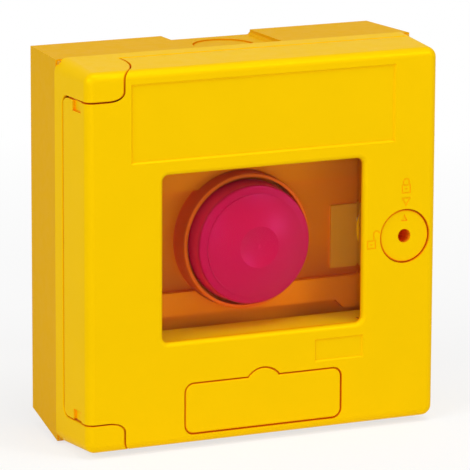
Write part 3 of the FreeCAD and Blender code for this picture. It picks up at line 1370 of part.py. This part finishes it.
build_back_box()
build_front_frame()
build_box_gasket()
build_inner_cover()
build_cover_screws()
build_insert_plate()
build_operator()
build_push_head()
build_push_stem()
build_return_spring()
build_contacts()
build_hinge_pins()
build_door()
build_window_pane()
build_pane_clips()
build_pane_clip_screws()
build_lower_plate()
build_lock()
write_parts()
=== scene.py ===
# %% [markdown]
# # Emergency push button
# A yellow wall box with a hinged, glazed door in front of a red palm button. The exact solids come
# ready packed; this lesson gives them their finishes, adds the fine signs beside the lock, and sets
# up the light and the camera. All lengths are in metres: the box is 125 mm wide and high, its front
# looks along -Y, and +Z is up.

# %% Load the solids
import json
import math

import bmesh
import bpy
from mathutils import Matrix, Vector


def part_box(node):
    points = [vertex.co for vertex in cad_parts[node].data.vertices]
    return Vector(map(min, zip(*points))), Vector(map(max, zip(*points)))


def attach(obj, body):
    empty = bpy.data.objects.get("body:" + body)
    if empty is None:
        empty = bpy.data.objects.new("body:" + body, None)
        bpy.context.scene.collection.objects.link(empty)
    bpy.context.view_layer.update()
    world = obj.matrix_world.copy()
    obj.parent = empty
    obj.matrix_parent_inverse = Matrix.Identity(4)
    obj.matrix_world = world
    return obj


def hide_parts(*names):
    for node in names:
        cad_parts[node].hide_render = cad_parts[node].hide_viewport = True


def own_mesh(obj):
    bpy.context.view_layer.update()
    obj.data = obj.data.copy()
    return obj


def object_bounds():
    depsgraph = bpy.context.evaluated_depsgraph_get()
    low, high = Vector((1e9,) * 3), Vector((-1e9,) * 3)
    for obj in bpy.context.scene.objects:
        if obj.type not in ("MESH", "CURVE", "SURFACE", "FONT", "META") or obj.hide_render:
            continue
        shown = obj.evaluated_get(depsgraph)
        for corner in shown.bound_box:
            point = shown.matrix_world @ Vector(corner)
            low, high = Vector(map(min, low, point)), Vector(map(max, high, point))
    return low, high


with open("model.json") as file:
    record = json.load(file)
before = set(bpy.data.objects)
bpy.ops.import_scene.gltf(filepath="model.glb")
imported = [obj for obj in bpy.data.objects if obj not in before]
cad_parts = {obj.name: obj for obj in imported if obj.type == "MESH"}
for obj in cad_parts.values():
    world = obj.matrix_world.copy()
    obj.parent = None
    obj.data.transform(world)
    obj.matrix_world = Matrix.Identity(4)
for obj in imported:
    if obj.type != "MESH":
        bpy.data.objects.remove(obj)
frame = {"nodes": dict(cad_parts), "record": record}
nodes = frame["nodes"]
cad_box = [list(corner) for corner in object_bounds()]
MM = 0.001
print("solids:", len(nodes), "box:", cad_box)

# %% [markdown]
# ## Helpers for node-based finishes
# Every finish starts from the same shader, the Principled BSDF. The first helper makes one and sets its
# plain numbers: the colour, the roughness, and how strong and how tinted its reflections are. The next
# ones add nodes: a noise with a real size, a range of values made from it, a blend of two colours, a
# bump, and a share that grows from none to full along an axis. They use Object coordinates, because
# these solids have no UV map and a pattern then has one real scale everywhere.


# %% A blank finish
def new_finish(name, colour, roughness, sheen_tint=(1, 1, 1), sheen=0.5, lustre=0.0):
    material = bpy.data.materials.new(name)
    material.use_nodes = True
    shader = material.node_tree.nodes["Principled BSDF"]
    shader.inputs["Base Color"].default_value = (*colour, 1)
    shader.inputs["Roughness"].default_value = roughness
    shader.inputs["Specular Tint"].default_value = (*sheen_tint, 1)
    shader.inputs["Specular IOR Level"].default_value = sheen
    shader.inputs["Metallic"].default_value = lustre
    material.diffuse_color = (*colour, 1)
    return material, material.node_tree, shader


# %% Noise, range, blend and bump
NOISE_LOW, NOISE_HIGH = 0.35, 0.65


def object_noise(tree, size, detail=2.0):
    place = tree.nodes.new("ShaderNodeTexCoord")
    noise = tree.nodes.new("ShaderNodeTexNoise")
    noise.inputs["Scale"].default_value = 1.0 / size
    noise.inputs["Detail"].default_value = detail
    tree.links.new(place.outputs["Object"], noise.inputs["Vector"])
    return noise


def ramp(tree, source, low, high):
    spread = tree.nodes.new("ShaderNodeMapRange")
    spread.inputs["From Min"].default_value = NOISE_LOW
    spread.inputs["From Max"].default_value = NOISE_HIGH
    spread.inputs["To Min"].default_value = low
    spread.inputs["To Max"].default_value = high
    tree.links.new(source, spread.inputs["Value"])
    return spread.outputs["Result"]


def blend_colours(tree, shader, factor, first, second=None):
    base = shader.inputs["Base Color"]
    blend = tree.nodes.new("ShaderNodeMix")
    blend.data_type = "RGBA"
    blend.inputs["A"].default_value = (*first, 1)
    if second:
        blend.inputs["B"].default_value = (*second, 1)
    else:
        tree.links.new(base.links[0].from_socket, blend.inputs["B"])
    tree.links.new(factor, blend.inputs["Factor"])
    tree.links.new(blend.outputs["Result"], base)


def larger(tree, first, second):
    node = tree.nodes.new("ShaderNodeMath")
    node.operation = "MAXIMUM"
    tree.links.new(first, node.inputs[0])
    tree.links.new(second, node.inputs[1])
    return node.outputs["Value"]


def raised(tree, shader, noise, height):
    bump = tree.nodes.new("ShaderNodeBump")
    bump.inputs["Distance"].default_value = height
    tree.links.new(noise.outputs["Fac"], bump.inputs["Height"])
    tree.links.new(bump.outputs["Normal"], shader.inputs["Normal"])


# %% Share along an axis
def object_axes(tree):
    place = tree.nodes.new("ShaderNodeTexCoord")
    split = tree.nodes.new("ShaderNodeSeparateXYZ")
    tree.links.new(place.outputs["Object"], split.inputs["Vector"])
    return split


def share_along(tree, split, axis, none, full):
    fall = tree.nodes.new("ShaderNodeMapRange")
    fall.inputs["From Min"].default_value = none
    fall.inputs["From Max"].default_value = full
    tree.links.new(split.outputs[axis], fall.inputs["Value"])
    return fall.outputs["Result"]


# %% [markdown]
# ## Moulded plastic in one call
# What makes moulded plastic look moulded is small: a fine spark-eroded grain in the bump, a roughness
# that varies a little, and a tone that drifts by a percent or two across a large face.


# %% Moulded plastic
CLOUD_SIZE = 18 * MM
MOTTLE_SIZE = 3 * MM


def moulded(name, colour, roughness, grain_size, grain_height, drift=0.02, spread=0.04,
            sheen_tint=(1, 1, 1), sheen=0.5, lustre=0.0):
    material, tree, shader = new_finish(name, colour, roughness, sheen_tint, sheen, lustre)
    cloud = object_noise(tree, CLOUD_SIZE)
    dark = [max(0.0, c * (1 - drift)) for c in colour]
    light = [min(1.0, c * (1 + drift)) for c in colour]
    blend_colours(tree, shader, cloud.outputs["Fac"], dark, light)
    mottle = object_noise(tree, MOTTLE_SIZE)
    tree.links.new(ramp(tree, mottle.outputs["Fac"], roughness - spread, roughness + spread),
                   shader.inputs["Roughness"])
    raised(tree, shader, object_noise(tree, grain_size, 1.0), grain_height)
    return material


# %% [markdown]
# ## Yellow plastic
# The door and the frame are injection moulded in one safety yellow, satin rather than glossy: the
# light falls off softly over the rounded edges and no lamp is mirrored in the face. A roughness near
# 0.36 with a grain of about a third of a millimetre gives that. The back box is the same plastic from
# another tool, a little duller. The pieces behind the window are the same yellow, painted more orange
# for the shade and the bounced light between the yellow walls, and the collar round the button is
# painted the deepest of them.
#
# White reflections would wash the strong pigment out. So the white sheen is almost off, and a small
# share of tinted, metal-like lustre takes its place, which keeps the highlights yellow.

# %% Yellow finishes
YELLOW_SHEEN = (1.0, 0.72, 0.08)
ORANGE_SHEEN = (1.0, 0.5, 0.1)
FAINT_SHEEN = 0.02
LUSTRE = 0.13


def satin(name, colour, roughness, grain_size, grain_height, tint, drift=0.02):
    return moulded(name, colour, roughness, grain_size, grain_height, drift=drift,
                   sheen_tint=tint, sheen=FAINT_SHEEN, lustre=LUSTRE)


def door_yellow(name):
    return satin(name, (0.90, 0.555, 0.001), 0.36, 0.35 * MM, 0.006 * MM, YELLOW_SHEEN)


yellow = door_yellow("yellow_plastic")
lock_yellow = door_yellow("lock_yellow")
back_yellow = satin("back_plastic", (0.80, 0.43, 0.002), 0.5, 0.4 * MM, 0.01 * MM, YELLOW_SHEEN)
# Painted shade and bounced light: the next two finishes are the door's yellow painted orange.
inner_yellow = satin("inner_yellow", (0.97, 0.29, 0.004), 0.42, 0.4 * MM, 0.008 * MM, ORANGE_SHEEN)
collar_shaded_orange = satin("collar_shaded_orange", (0.90, 0.17, 0.01), 0.38, 0.4 * MM, 0.008 * MM, ORANGE_SHEEN)
olive = satin("olive_plastic", (0.93, 0.44, 0.02), 0.45, 0.5 * MM, 0.01 * MM, ORANGE_SHEEN, drift=0.05)
print("yellow finishes ready")

# %% [markdown]
# ## Warm gaps and a shaded field
# Light that reaches a narrow gap has bounced between yellow walls, and each bounce takes green out of
# it: in the photograph every groove is a thin orange line. An ambient occlusion node finds those
# places, and the base colour is painted orange there: painted shade and bounced light. The key hole is
# deeper than the grooves, and its red is the same painted shade, so the lock has a yellow of its own
# with a longer reach.
#
# The flat field of the inner cover is painted darker and redder towards its foot, a painted shade under
# the palm head. Its colour follows the height there. The raised bands in front of it keep theirs, and so
# does the strip below the lower band, which the yellow shelf of the window lights from below.

# %% Warm gaps
GAP_REACH = 1.2 * MM
INNER_REACH = 2.5 * MM
COLLAR_REACH = 2.0 * MM
KEY_HOLE_REACH = 5.0 * MM
GAP_SAMPLES = 6


# Painted shade: the base colour turns to the given colour where the ambient occlusion node finds a narrow
# gap.
def painted_gap_shade(material, glow, reach=GAP_REACH):
    tree = material.node_tree
    near = tree.nodes.new("ShaderNodeAmbientOcclusion")
    near.samples = GAP_SAMPLES
    near.inputs["Distance"].default_value = reach
    blend_colours(tree, tree.nodes["Principled BSDF"], near.outputs["AO"], glow)


# %% Shaded field
FIELD_FRONT = -28.0 * MM
FIELD_TOP = -2.0 * MM
FIELD_FOOT = -18.0 * MM
SHELF_START, SHELF_END = -23.0 * MM, -25.0 * MM
BAND_START, BAND_END = FIELD_FRONT - 0.3 * MM, FIELD_FRONT - 1.0 * MM


# Painted shade: the field's colour turns darker and redder towards its foot.
def shade_field(material, colour):
    tree = material.node_tree
    split = object_axes(tree)
    height = share_along(tree, split, "Z", FIELD_FOOT, FIELD_TOP)
    raised_band = share_along(tree, split, "Y", BAND_START, BAND_END)
    above_shelf = share_along(tree, split, "Z", SHELF_START, SHELF_END)
    own = larger(tree, larger(tree, height, raised_band), above_shelf)
    blend_colours(tree, tree.nodes["Principled BSDF"], own, colour)


shade_field(inner_yellow, (0.66, 0.15, 0.012))
painted_gap_shade(inner_yellow, (1.0, 0.26, 0.006), INNER_REACH)
painted_gap_shade(collar_shaded_orange, (1.0, 0.20, 0.02), COLLAR_REACH)
painted_gap_shade(yellow, (1.0, 0.25, 0.002))
# Painted shade in the key hole: a longer reach on the lock's yellow.
painted_gap_shade(lock_yellow, (1.0, 0.13, 0.006), KEY_HOLE_REACH)
painted_gap_shade(back_yellow, (0.90, 0.22, 0.002))
print("gaps reach mm:", round(GAP_REACH / MM, 2))

# %% [markdown]
# ## Red palm head
# The head is the glossiest piece: a crimson plastic with a broad soft reflection on its right-hand
# side. A low roughness shows the dome and the dimple, and a pink tint keeps the reflection close to
# the strong colour. The flank behind the bevel stands between orange walls and takes up their light,
# so its colour is painted brighter there: painted light.

# %% Red finish
FLANK_START = -41.9 * MM
FLANK_FULL = -40.4 * MM
red = moulded("red_plastic", (0.58, 0.001, 0.04), 0.3, 0.5 * MM, 0.003 * MM, drift=0.01, spread=0.02,
              sheen_tint=(1.0, 0.12, 0.75))
red_tree = red.node_tree
# Painted light: the flank behind the bevel gets a brighter red than the face.
front_share = share_along(red_tree, object_axes(red_tree), "Y", FLANK_FULL, FLANK_START)
blend_colours(red_tree, red_tree.nodes["Principled BSDF"], front_share, (0.95, 0.01, 0.085))
print("red finish ready")

# %% [markdown]
# ## Clear pane
# A thin clear pane hardly bends the light, but a true glass shader would also stop the lamps from
# reaching the button behind it. So the glass shader is only used for what is seen and mirrored, and
# rays that carry light and shadow pass straight through. The low index of refraction keeps the room
# from being mirrored in the window, as a polarising filter does in a product photograph.


# %% Pane finish
PANE_IOR = 1.12
PANE_TINT = (0.96, 0.96, 0.95)
HAZE_SIZE = 6 * MM
WAVE_SIZE = 9 * MM


def clear_pane(name, tint, roughness):
    material, tree, shader = new_finish(name, tint, roughness)
    shader.inputs["Transmission Weight"].default_value = 1.0
    shader.inputs["IOR"].default_value = PANE_IOR
    haze = object_noise(tree, HAZE_SIZE)
    tree.links.new(ramp(tree, haze.outputs["Fac"], roughness, roughness + 0.03), shader.inputs["Roughness"])
    raised(tree, shader, object_noise(tree, WAVE_SIZE, 1.0), 0.004 * MM)
    ray = tree.nodes.new("ShaderNodeLightPath")
    light_ray = larger(tree, ray.outputs["Is Shadow Ray"], ray.outputs["Is Diffuse Ray"])
    through = tree.nodes.new("ShaderNodeBsdfTransparent")
    through.inputs["Color"].default_value = (*PANE_TINT, 1)
    mix = tree.nodes.new("ShaderNodeMixShader")
    out = tree.nodes["Material Output"]
    tree.links.new(light_ray, mix.inputs["Fac"])
    tree.links.new(shader.outputs["BSDF"], mix.inputs[1])
    tree.links.new(through.outputs["BSDF"], mix.inputs[2])
    tree.links.new(mix.outputs["Shader"], out.inputs["Surface"])
    return material


pane = clear_pane("clear_plastic", (0.99, 0.99, 0.985), 0.02)
print("pane finish ready")

# %% [markdown]
# ## Metal, rubber and dark plastic
# The pieces inside are plain: zinc-plated screws, bright spring steel, brass contacts, black and grey
# switch plastic and soft black seals. The long seal behind the frame shows at its corners, where the
# photograph has no dark spot, so it is amber. Metals get fine turning marks, a noise stretched along
# one direction, in both roughness and bump.


# %% Metal and rubber finishes
MARK_STRETCH = (1, 14, 1)
MARK_HEIGHT = 0.004 * MM


def plated(name, colour, roughness, mark):
    material, tree, shader = new_finish(name, colour, roughness, lustre=1.0)
    place = tree.nodes.new("ShaderNodeTexCoord")
    stretch = tree.nodes.new("ShaderNodeMapping")
    stretch.inputs["Scale"].default_value = MARK_STRETCH
    noise = tree.nodes.new("ShaderNodeTexNoise")
    noise.inputs["Scale"].default_value = 1.0 / mark
    tree.links.new(place.outputs["Object"], stretch.inputs["Vector"])
    tree.links.new(stretch.outputs["Vector"], noise.inputs["Vector"])
    tree.links.new(ramp(tree, noise.outputs["Fac"], roughness - 0.08, roughness + 0.1),
                   shader.inputs["Roughness"])
    raised(tree, shader, noise, MARK_HEIGHT)
    return material


zinc = plated("steel_zinc", (0.62, 0.62, 0.59), 0.38, 1.5 * MM)
bright_steel = plated("steel_bright", (0.72, 0.72, 0.73), 0.25, 2.0 * MM)
brass = plated("contact_brass", (0.72, 0.50, 0.20), 0.3, 1.5 * MM)
black = moulded("black_plastic", (0.02, 0.02, 0.022), 0.45, 0.4 * MM, 0.01 * MM)
grey = moulded("grey_plastic", (0.38, 0.39, 0.40), 0.5, 0.4 * MM, 0.01 * MM)
rubber = moulded("rubber_black", (0.018, 0.018, 0.018), 0.75, 0.6 * MM, 0.02 * MM, spread=0.08)
gasket_amber = moulded("gasket_amber", (0.72, 0.36, 0.01), 0.6, 0.6 * MM, 0.02 * MM, spread=0.08)
print("metal and rubber finishes ready")

# %% [markdown]
# ## Give each solid its finish
# The record says which finish every solid has, so one table from finish name to material dresses them
# all. The collar, the lock and the long seal then get finishes of their own.

# %% Dress the solids
FINISHES = {
    "yellow_plastic": yellow, "back_plastic": back_yellow, "inner_yellow": inner_yellow,
    "olive_plastic": olive, "red_plastic": red, "clear_plastic": pane, "steel_zinc": zinc,
    "steel_bright": bright_steel, "contact_brass": brass, "black_plastic": black,
    "grey_plastic": grey, "rubber_black": rubber,
}
slots = {part["node"]: part["material_slot"] for part in frame["record"]["subparts"]}
for name, solid in nodes.items():
    solid.data.materials.clear()
    solid.data.materials.append(FINISHES[slots[name]])
nodes["operator_body"].data.materials[0] = collar_shaded_orange
nodes["lock_barrel"].data.materials[0] = lock_yellow
nodes["box_gasket"].data.materials[0] = gasket_amber
print("dressed:", len(nodes))

# %% [markdown]
# ## Return spring
# The solid of the spring is a coil of short straight lengths and can't shorten. A smooth coil takes its
# place here: a round wire swept along a helix, in the same box as the solid, riding with the housing.


# %% A new piece from a mesh
def new_piece(name, mesh):
    data = bpy.data.meshes.new(name)
    bmesh.ops.recalc_face_normals(mesh, faces=mesh.faces)
    mesh.to_mesh(data)
    mesh.free()
    piece = bpy.data.objects.new(name, data)
    bpy.context.scene.collection.objects.link(piece)
    return piece


# %% Smooth coil
SPRING_WIRE = 1.0 * MM
SPRING_TURNS = 5


def coil(name, low, high, wire, turns, steps=28, sides=10):
    centre_x, centre_z = (low[0] + high[0]) / 2, (low[2] + high[2]) / 2
    radius = (high[2] - low[2] - wire) / 2
    front, rear = low[1] + wire / 2, high[1] - wire / 2
    count = turns * steps
    mesh = bmesh.new()
    rings = []
    for step in range(count + 1):
        angle = 2 * math.pi * step / steps
        outward = Vector((math.cos(angle), 0, math.sin(angle)))
        middle = Vector((centre_x, front + (rear - front) * step / count, centre_z)) + outward * radius
        ring = []
        for side in range(sides):
            turn = 2 * math.pi * side / sides
            offset = outward * math.cos(turn) + Vector((0, 1, 0)) * math.sin(turn)
            ring.append(mesh.verts.new(middle + offset * wire / 2))
        rings.append(ring)
    for a, b in zip(rings, rings[1:]):
        for i in range(sides):
            j = (i + 1) % sides
            mesh.faces.new((a[i], a[j], b[j], b[i]))
    mesh.faces.new(rings[0][::-1])
    mesh.faces.new(rings[-1])
    piece = new_piece(name, mesh)
    piece.data.shade_smooth()
    return piece


spring_low, spring_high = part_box("return_spring")
spring = coil("spring_coil", spring_low, spring_high, SPRING_WIRE, SPRING_TURNS)
spring.data.materials.append(bright_steel)
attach(spring, "housing")
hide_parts("return_spring")
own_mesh(spring)

# %% [markdown]
# ## Signs round the lock
# Two small padlocks and a triangle are pressed into the door beside the lock: closed above it, open to
# its left. They are a sixth of a millimetre deep, too fine for the solid, so a copy of the door's
# mesh is engraved here and stands in for it. Each sign is a set of strokes; every stroke becomes a thin
# prism, and a boolean cuts all of them out of the copy at once.

# %% Strokes of the signs
STROKE = 0.42 * MM
SIGN_DEPTH = 0.16 * MM
LOCK_HALF_WIDTH, LOCK_HALF_HEIGHT = 1.4 * MM, 1.25 * MM
BOW_RADIUS = 1.0 * MM
CLOSED_LEG, OPEN_LEG = 1.1 * MM, 2.2 * MM
OPEN_POST = 0.75 * MM
KEY_MARK = 0.15 * MM
TRIANGLE_HALF, TRIANGLE_HEIGHT = 1.35 * MM, 2.3 * MM


def stroke_prism(mesh, start, end, front):
    along = (Vector(end) - Vector(start)).normalized()
    side = Vector((-along.y, along.x)) * STROKE / 2
    first, last = Vector(start) - along * STROKE / 2, Vector(end) + along * STROKE / 2
    corners = (first - side, last - side, last + side, first + side)
    outer = [mesh.verts.new((c.x, front - SIGN_DEPTH, c.y)) for c in corners]
    inner = [mesh.verts.new((c.x, front + SIGN_DEPTH, c.y)) for c in corners]
    mesh.faces.new(outer)
    mesh.faces.new(inner[::-1])
    for i in range(4):
        j = (i + 1) % 4
        mesh.faces.new((outer[j], outer[i], inner[i], inner[j]))


def outline_points(points):
    return list(zip(points, points[1:] + points[:1]))


def arc_points(centre, radius, low, high, steps):
    angles = [math.radians(low + (high - low) * i / steps) for i in range(steps + 1)]
    spots = [(centre[0] + radius * math.cos(a), centre[1] + radius * math.sin(a)) for a in angles]
    return list(zip(spots, spots[1:]))


def padlock(x, z, opened):
    left, right = x - LOCK_HALF_WIDTH, x + LOCK_HALF_WIDTH
    low, top = z - LOCK_HALF_HEIGHT, z + LOCK_HALF_HEIGHT
    strokes = outline_points([(left, low), (right, low), (right, top), (left, top)])
    strokes.append(((x - KEY_MARK, z), (x + KEY_MARK, z)))
    if opened:
        post, shoulder = x + OPEN_POST, top + OPEN_LEG
        strokes.append(((post, top), (post, shoulder)))
        strokes += arc_points((post + BOW_RADIUS, shoulder), BOW_RADIUS, 180, 20, 6)
    else:
        shoulder = top + CLOSED_LEG
        strokes += [((leg, top), (leg, shoulder)) for leg in (x - BOW_RADIUS, x + BOW_RADIUS)]
        strokes += arc_points((x, shoulder), BOW_RADIUS, 0, 180, 7)
    return strokes


def down_triangle(x, z):
    top, tip = z + TRIANGLE_HEIGHT / 2, z - TRIANGLE_HEIGHT / 2
    return outline_points([(x - TRIANGLE_HALF, top), (x, tip), (x + TRIANGLE_HALF, top)])


# %% Cutter for all the signs
SIGN_SHIFT = 0.25 * MM
PADLOCK_RISE, TRIANGLE_RISE = 15.6 * MM, 11.4 * MM
OPEN_LEFT, OPEN_DROP = 12.0 * MM, 1.8 * MM
lock_low, lock_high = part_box("lock_barrel")
lock_x, lock_z = (lock_low[0] + lock_high[0]) / 2, (lock_low[2] + lock_high[2]) / 2
face_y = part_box("door")[0][1]
strokes = padlock(lock_x + SIGN_SHIFT, lock_z + PADLOCK_RISE, opened=False)
strokes += down_triangle(lock_x + SIGN_SHIFT, lock_z + TRIANGLE_RISE)
strokes += padlock(lock_x - OPEN_LEFT, lock_z - OPEN_DROP, opened=True)
cutter_mesh = bmesh.new()
for start, end in strokes:
    stroke_prism(cutter_mesh, start, end, face_y)
cutter = new_piece("sign_strokes", cutter_mesh)
print("strokes:", len(strokes))

# %% [markdown]
# ## Clean shading after the cut
# The cut leaves thin slivers in the flat face, which would show as streaks. So each corner's normal is
# set afresh: faces that lie in one plane count with the area of the whole plane, which lets the flat
# faces win over the narrow rounds. Faces that meet at more than the crease angle keep a sharp edge.

# %% Engrave a copy of the door
CREASE = math.radians(32)
PLANE_STEP = 0.02 * MM


def plane_normals(mesh, limit):
    planes = {}
    keys = []
    for face in mesh.polygons:
        n = face.normal
        key = (*(round(c, 3) for c in n), round(n.dot(face.center) / PLANE_STEP))
        keys.append(key)
        planes[key] = planes.get(key, 0) + face.area
    around = [[] for _ in mesh.vertices]
    for face, key in zip(mesh.polygons, keys):
        for v in face.vertices:
            around[v].append((face.normal, planes[key] ** 2))
    normals = []
    for face in mesh.polygons:
        for v in face.vertices:
            total = Vector()
            for normal, weight in around[v]:
                if normal.dot(face.normal) > limit:
                    total += normal * weight
            normals.append(total.normalized() if total.length > 0 else face.normal)
    return normals


def engraved(source, tool, name):
    blank = bpy.data.objects.new(name, source.data.copy())
    bpy.context.scene.collection.objects.link(blank)
    blank.matrix_world = source.matrix_world
    cut = blank.modifiers.new("cut", "BOOLEAN")
    cut.operation = "DIFFERENCE"
    cut.solver = "EXACT"
    cut.use_self = True
    cut.object = tool
    seen = bpy.context.evaluated_depsgraph_get()
    shape = bpy.data.meshes.new_from_object(blank.evaluated_get(seen))
    blank.modifiers.clear()
    blank.data = shape
    shape.shade_smooth()
    shape.normals_split_custom_set(plane_normals(shape, math.cos(CREASE)))
    return blank


signed_door = engraved(nodes["door"], cutter, "signed_door")
bpy.data.objects.remove(cutter)
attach(signed_door, "door")
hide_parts("door")
print("door faces:", len(nodes["door"].data.polygons), "engraved:", len(signed_door.data.polygons))

# %% [markdown]
# ## Light
# The photograph was lit from the front left, the upper left and above, with a weaker soft source at the
# right and a small one at the upper right that shows as the pale sheen on the red head. Five area lamps
# stand in for them, and a dim white world fills the shadows. What the eye, the metal and the glass see
# of the room is white all the same, so the world has a second, brighter background for those rays.


# %% Lamps
LAMP_AIM = Vector((0, -0.03, 0))


def softbox(name, place, size, watts):
    data = bpy.data.lights.new(name, "AREA")
    data.shape = "SQUARE"
    data.size = size
    data.energy = watts
    lamp = bpy.data.objects.new(name, data)
    bpy.context.scene.collection.objects.link(lamp)
    lamp.location = place
    lamp.rotation_euler = (LAMP_AIM - Vector(place)).to_track_quat("-Z", "Y").to_euler()


softbox("front_left_softbox", (-0.55, -1.3, 0.05), 0.7, 2.2)
softbox("upper_left_softbox", (-1.0, -0.45, 0.7), 0.6, 6.1)
softbox("top_softbox", (0.1, -0.35, 1.15), 0.6, 5.4)
softbox("upper_right_softbox", (0.6, -0.9, 0.8), 0.35, 2.8)
softbox("right_softbox", (0.9, -1.1, -0.02), 0.4, 1.7)


# %% World
FILL_STRENGTH = 0.3
SEEN_STRENGTH = 1.0


def seen_ray(tree):
    ray = tree.nodes.new("ShaderNodeLightPath")
    seen = larger(tree, ray.outputs["Is Camera Ray"], ray.outputs["Is Glossy Ray"])
    return larger(tree, seen, ray.outputs["Is Transmission Ray"])


world = bpy.data.worlds.new("studio")
bpy.context.scene.world = world
world.use_nodes = True
sky = world.node_tree
background = sky.nodes["Background"]
background.inputs["Color"].default_value = (1, 1, 1, 1)
background.inputs["Strength"].default_value = FILL_STRENGTH
white = sky.nodes.new("ShaderNodeBackground")
white.inputs["Color"].default_value = (1, 1, 1, 1)
white.inputs["Strength"].default_value = SEEN_STRENGTH
choice = sky.nodes.new("ShaderNodeMixShader")
sky.links.new(seen_ray(sky), choice.inputs["Fac"])
sky.links.new(background.outputs["Background"], choice.inputs[1])
sky.links.new(white.outputs["Background"], choice.inputs[2])
sky.links.new(choice.outputs["Shader"], sky.nodes["World Output"].inputs["Surface"])
bpy.context.scene.view_settings.view_transform = "Standard"
print("world strength:", FILL_STRENGTH, "seen:", SEEN_STRENGTH)

# %% [markdown]
# ## Floor
# The box hangs on a wall in use and stands on a white table in the photograph. A plain pale floor
# under it catches a soft shadow. For the eye it also glows white, and this painted glow grows away from
# the box, so that there it fades to pure white.


# %% Floor finish
SHADOW_NEAR, SHADOW_FAR = 0.1, 0.45
WHITE_NEAR, WHITE_FAR = 0.7, 1.0


def floor_finish():
    material, tree, shader = new_finish("pale_floor", (0.95, 0.95, 0.95), 0.8)
    glow = tree.nodes.new("ShaderNodeEmission")
    glow.inputs["Color"].default_value = (1, 1, 1, 1)
    glow.inputs["Strength"].default_value = 1.0
    place = tree.nodes.new("ShaderNodeTexCoord")
    away = tree.nodes.new("ShaderNodeVectorMath")
    away.operation = "LENGTH"
    tree.links.new(place.outputs["Object"], away.inputs[0])
    # Painted light: the white glow grows with the distance from the box.
    fade = tree.nodes.new("ShaderNodeMapRange")
    fade.inputs["From Min"].default_value = SHADOW_NEAR
    fade.inputs["From Max"].default_value = SHADOW_FAR
    fade.inputs["To Min"].default_value = WHITE_NEAR
    fade.inputs["To Max"].default_value = WHITE_FAR
    tree.links.new(away.outputs["Value"], fade.inputs["Value"])
    share = tree.nodes.new("ShaderNodeMath")
    share.operation = "MULTIPLY"
    tree.links.new(fade.outputs["Result"], share.inputs[1])
    mix = tree.nodes.new("ShaderNodeMixShader")
    tree.links.new(seen_ray(tree), share.inputs[0])
    tree.links.new(share.outputs["Value"], mix.inputs["Fac"])
    tree.links.new(shader.outputs["BSDF"], mix.inputs[1])
    tree.links.new(glow.outputs["Emission"], mix.inputs[2])
    tree.links.new(mix.outputs["Shader"], tree.nodes["Material Output"].inputs["Surface"])
    return material


# %% Floor
FLOOR_HALF = 3.0
FLOOR_GAP = 0.5 * MM
floor_mesh = bmesh.new()
sides = ((-1, -1), (1, -1), (1, 1), (-1, 1))
floor_mesh.faces.new([floor_mesh.verts.new((x * FLOOR_HALF, y * FLOOR_HALF, 0)) for x, y in sides])
floor = new_piece("floor", floor_mesh)
floor.location = (0, 0, cad_box[0][2] - FLOOR_GAP)
floor.data.materials.append(floor_finish())
print("floor level mm:", round(floor.location.z / MM, 1))

# %% [markdown]
# ## Camera
# The photograph was taken with a long lens from the upper left. The place and the angles below were
# found by fitting known corners of the box to the picture: 24.5 degrees round to the left, looking
# down by 12.8 degrees, from about 1.4 m away.

# %% Camera
IMAGE_WIDTH = 470
FOCAL_PIXELS = 4200.0
CAMERA_PLACE = Vector((-0.5481, -1.2307, 0.3017))
YAW, PITCH, ROLL = 24.4846, 12.849, 0.2669
yaw, pitch, roll = (math.radians(angle) for angle in (YAW, PITCH, ROLL))
forward = Vector((math.sin(yaw) * math.cos(pitch), math.cos(yaw) * math.cos(pitch), -math.sin(pitch)))
level_right = Vector((math.cos(yaw), -math.sin(yaw), 0))
level_up = level_right.cross(forward)
right = level_right * math.cos(roll) + level_up * math.sin(roll)
up = -level_right * math.sin(roll) + level_up * math.cos(roll)
camera_data = bpy.data.cameras.new("camera")
camera_data.sensor_width = 36.0
camera_data.lens = FOCAL_PIXELS / IMAGE_WIDTH * camera_data.sensor_width
camera_data.clip_start, camera_data.clip_end = 0.05, 20
camera = bpy.data.objects.new("camera", camera_data)
bpy.context.scene.collection.objects.link(camera)
axes = Matrix((right, up, -forward)).transposed().to_4x4()
camera.matrix_world = Matrix.Translation(CAMERA_PLACE) @ axes
bpy.context.scene.camera = camera
print("lens mm:", round(camera_data.lens, 1))
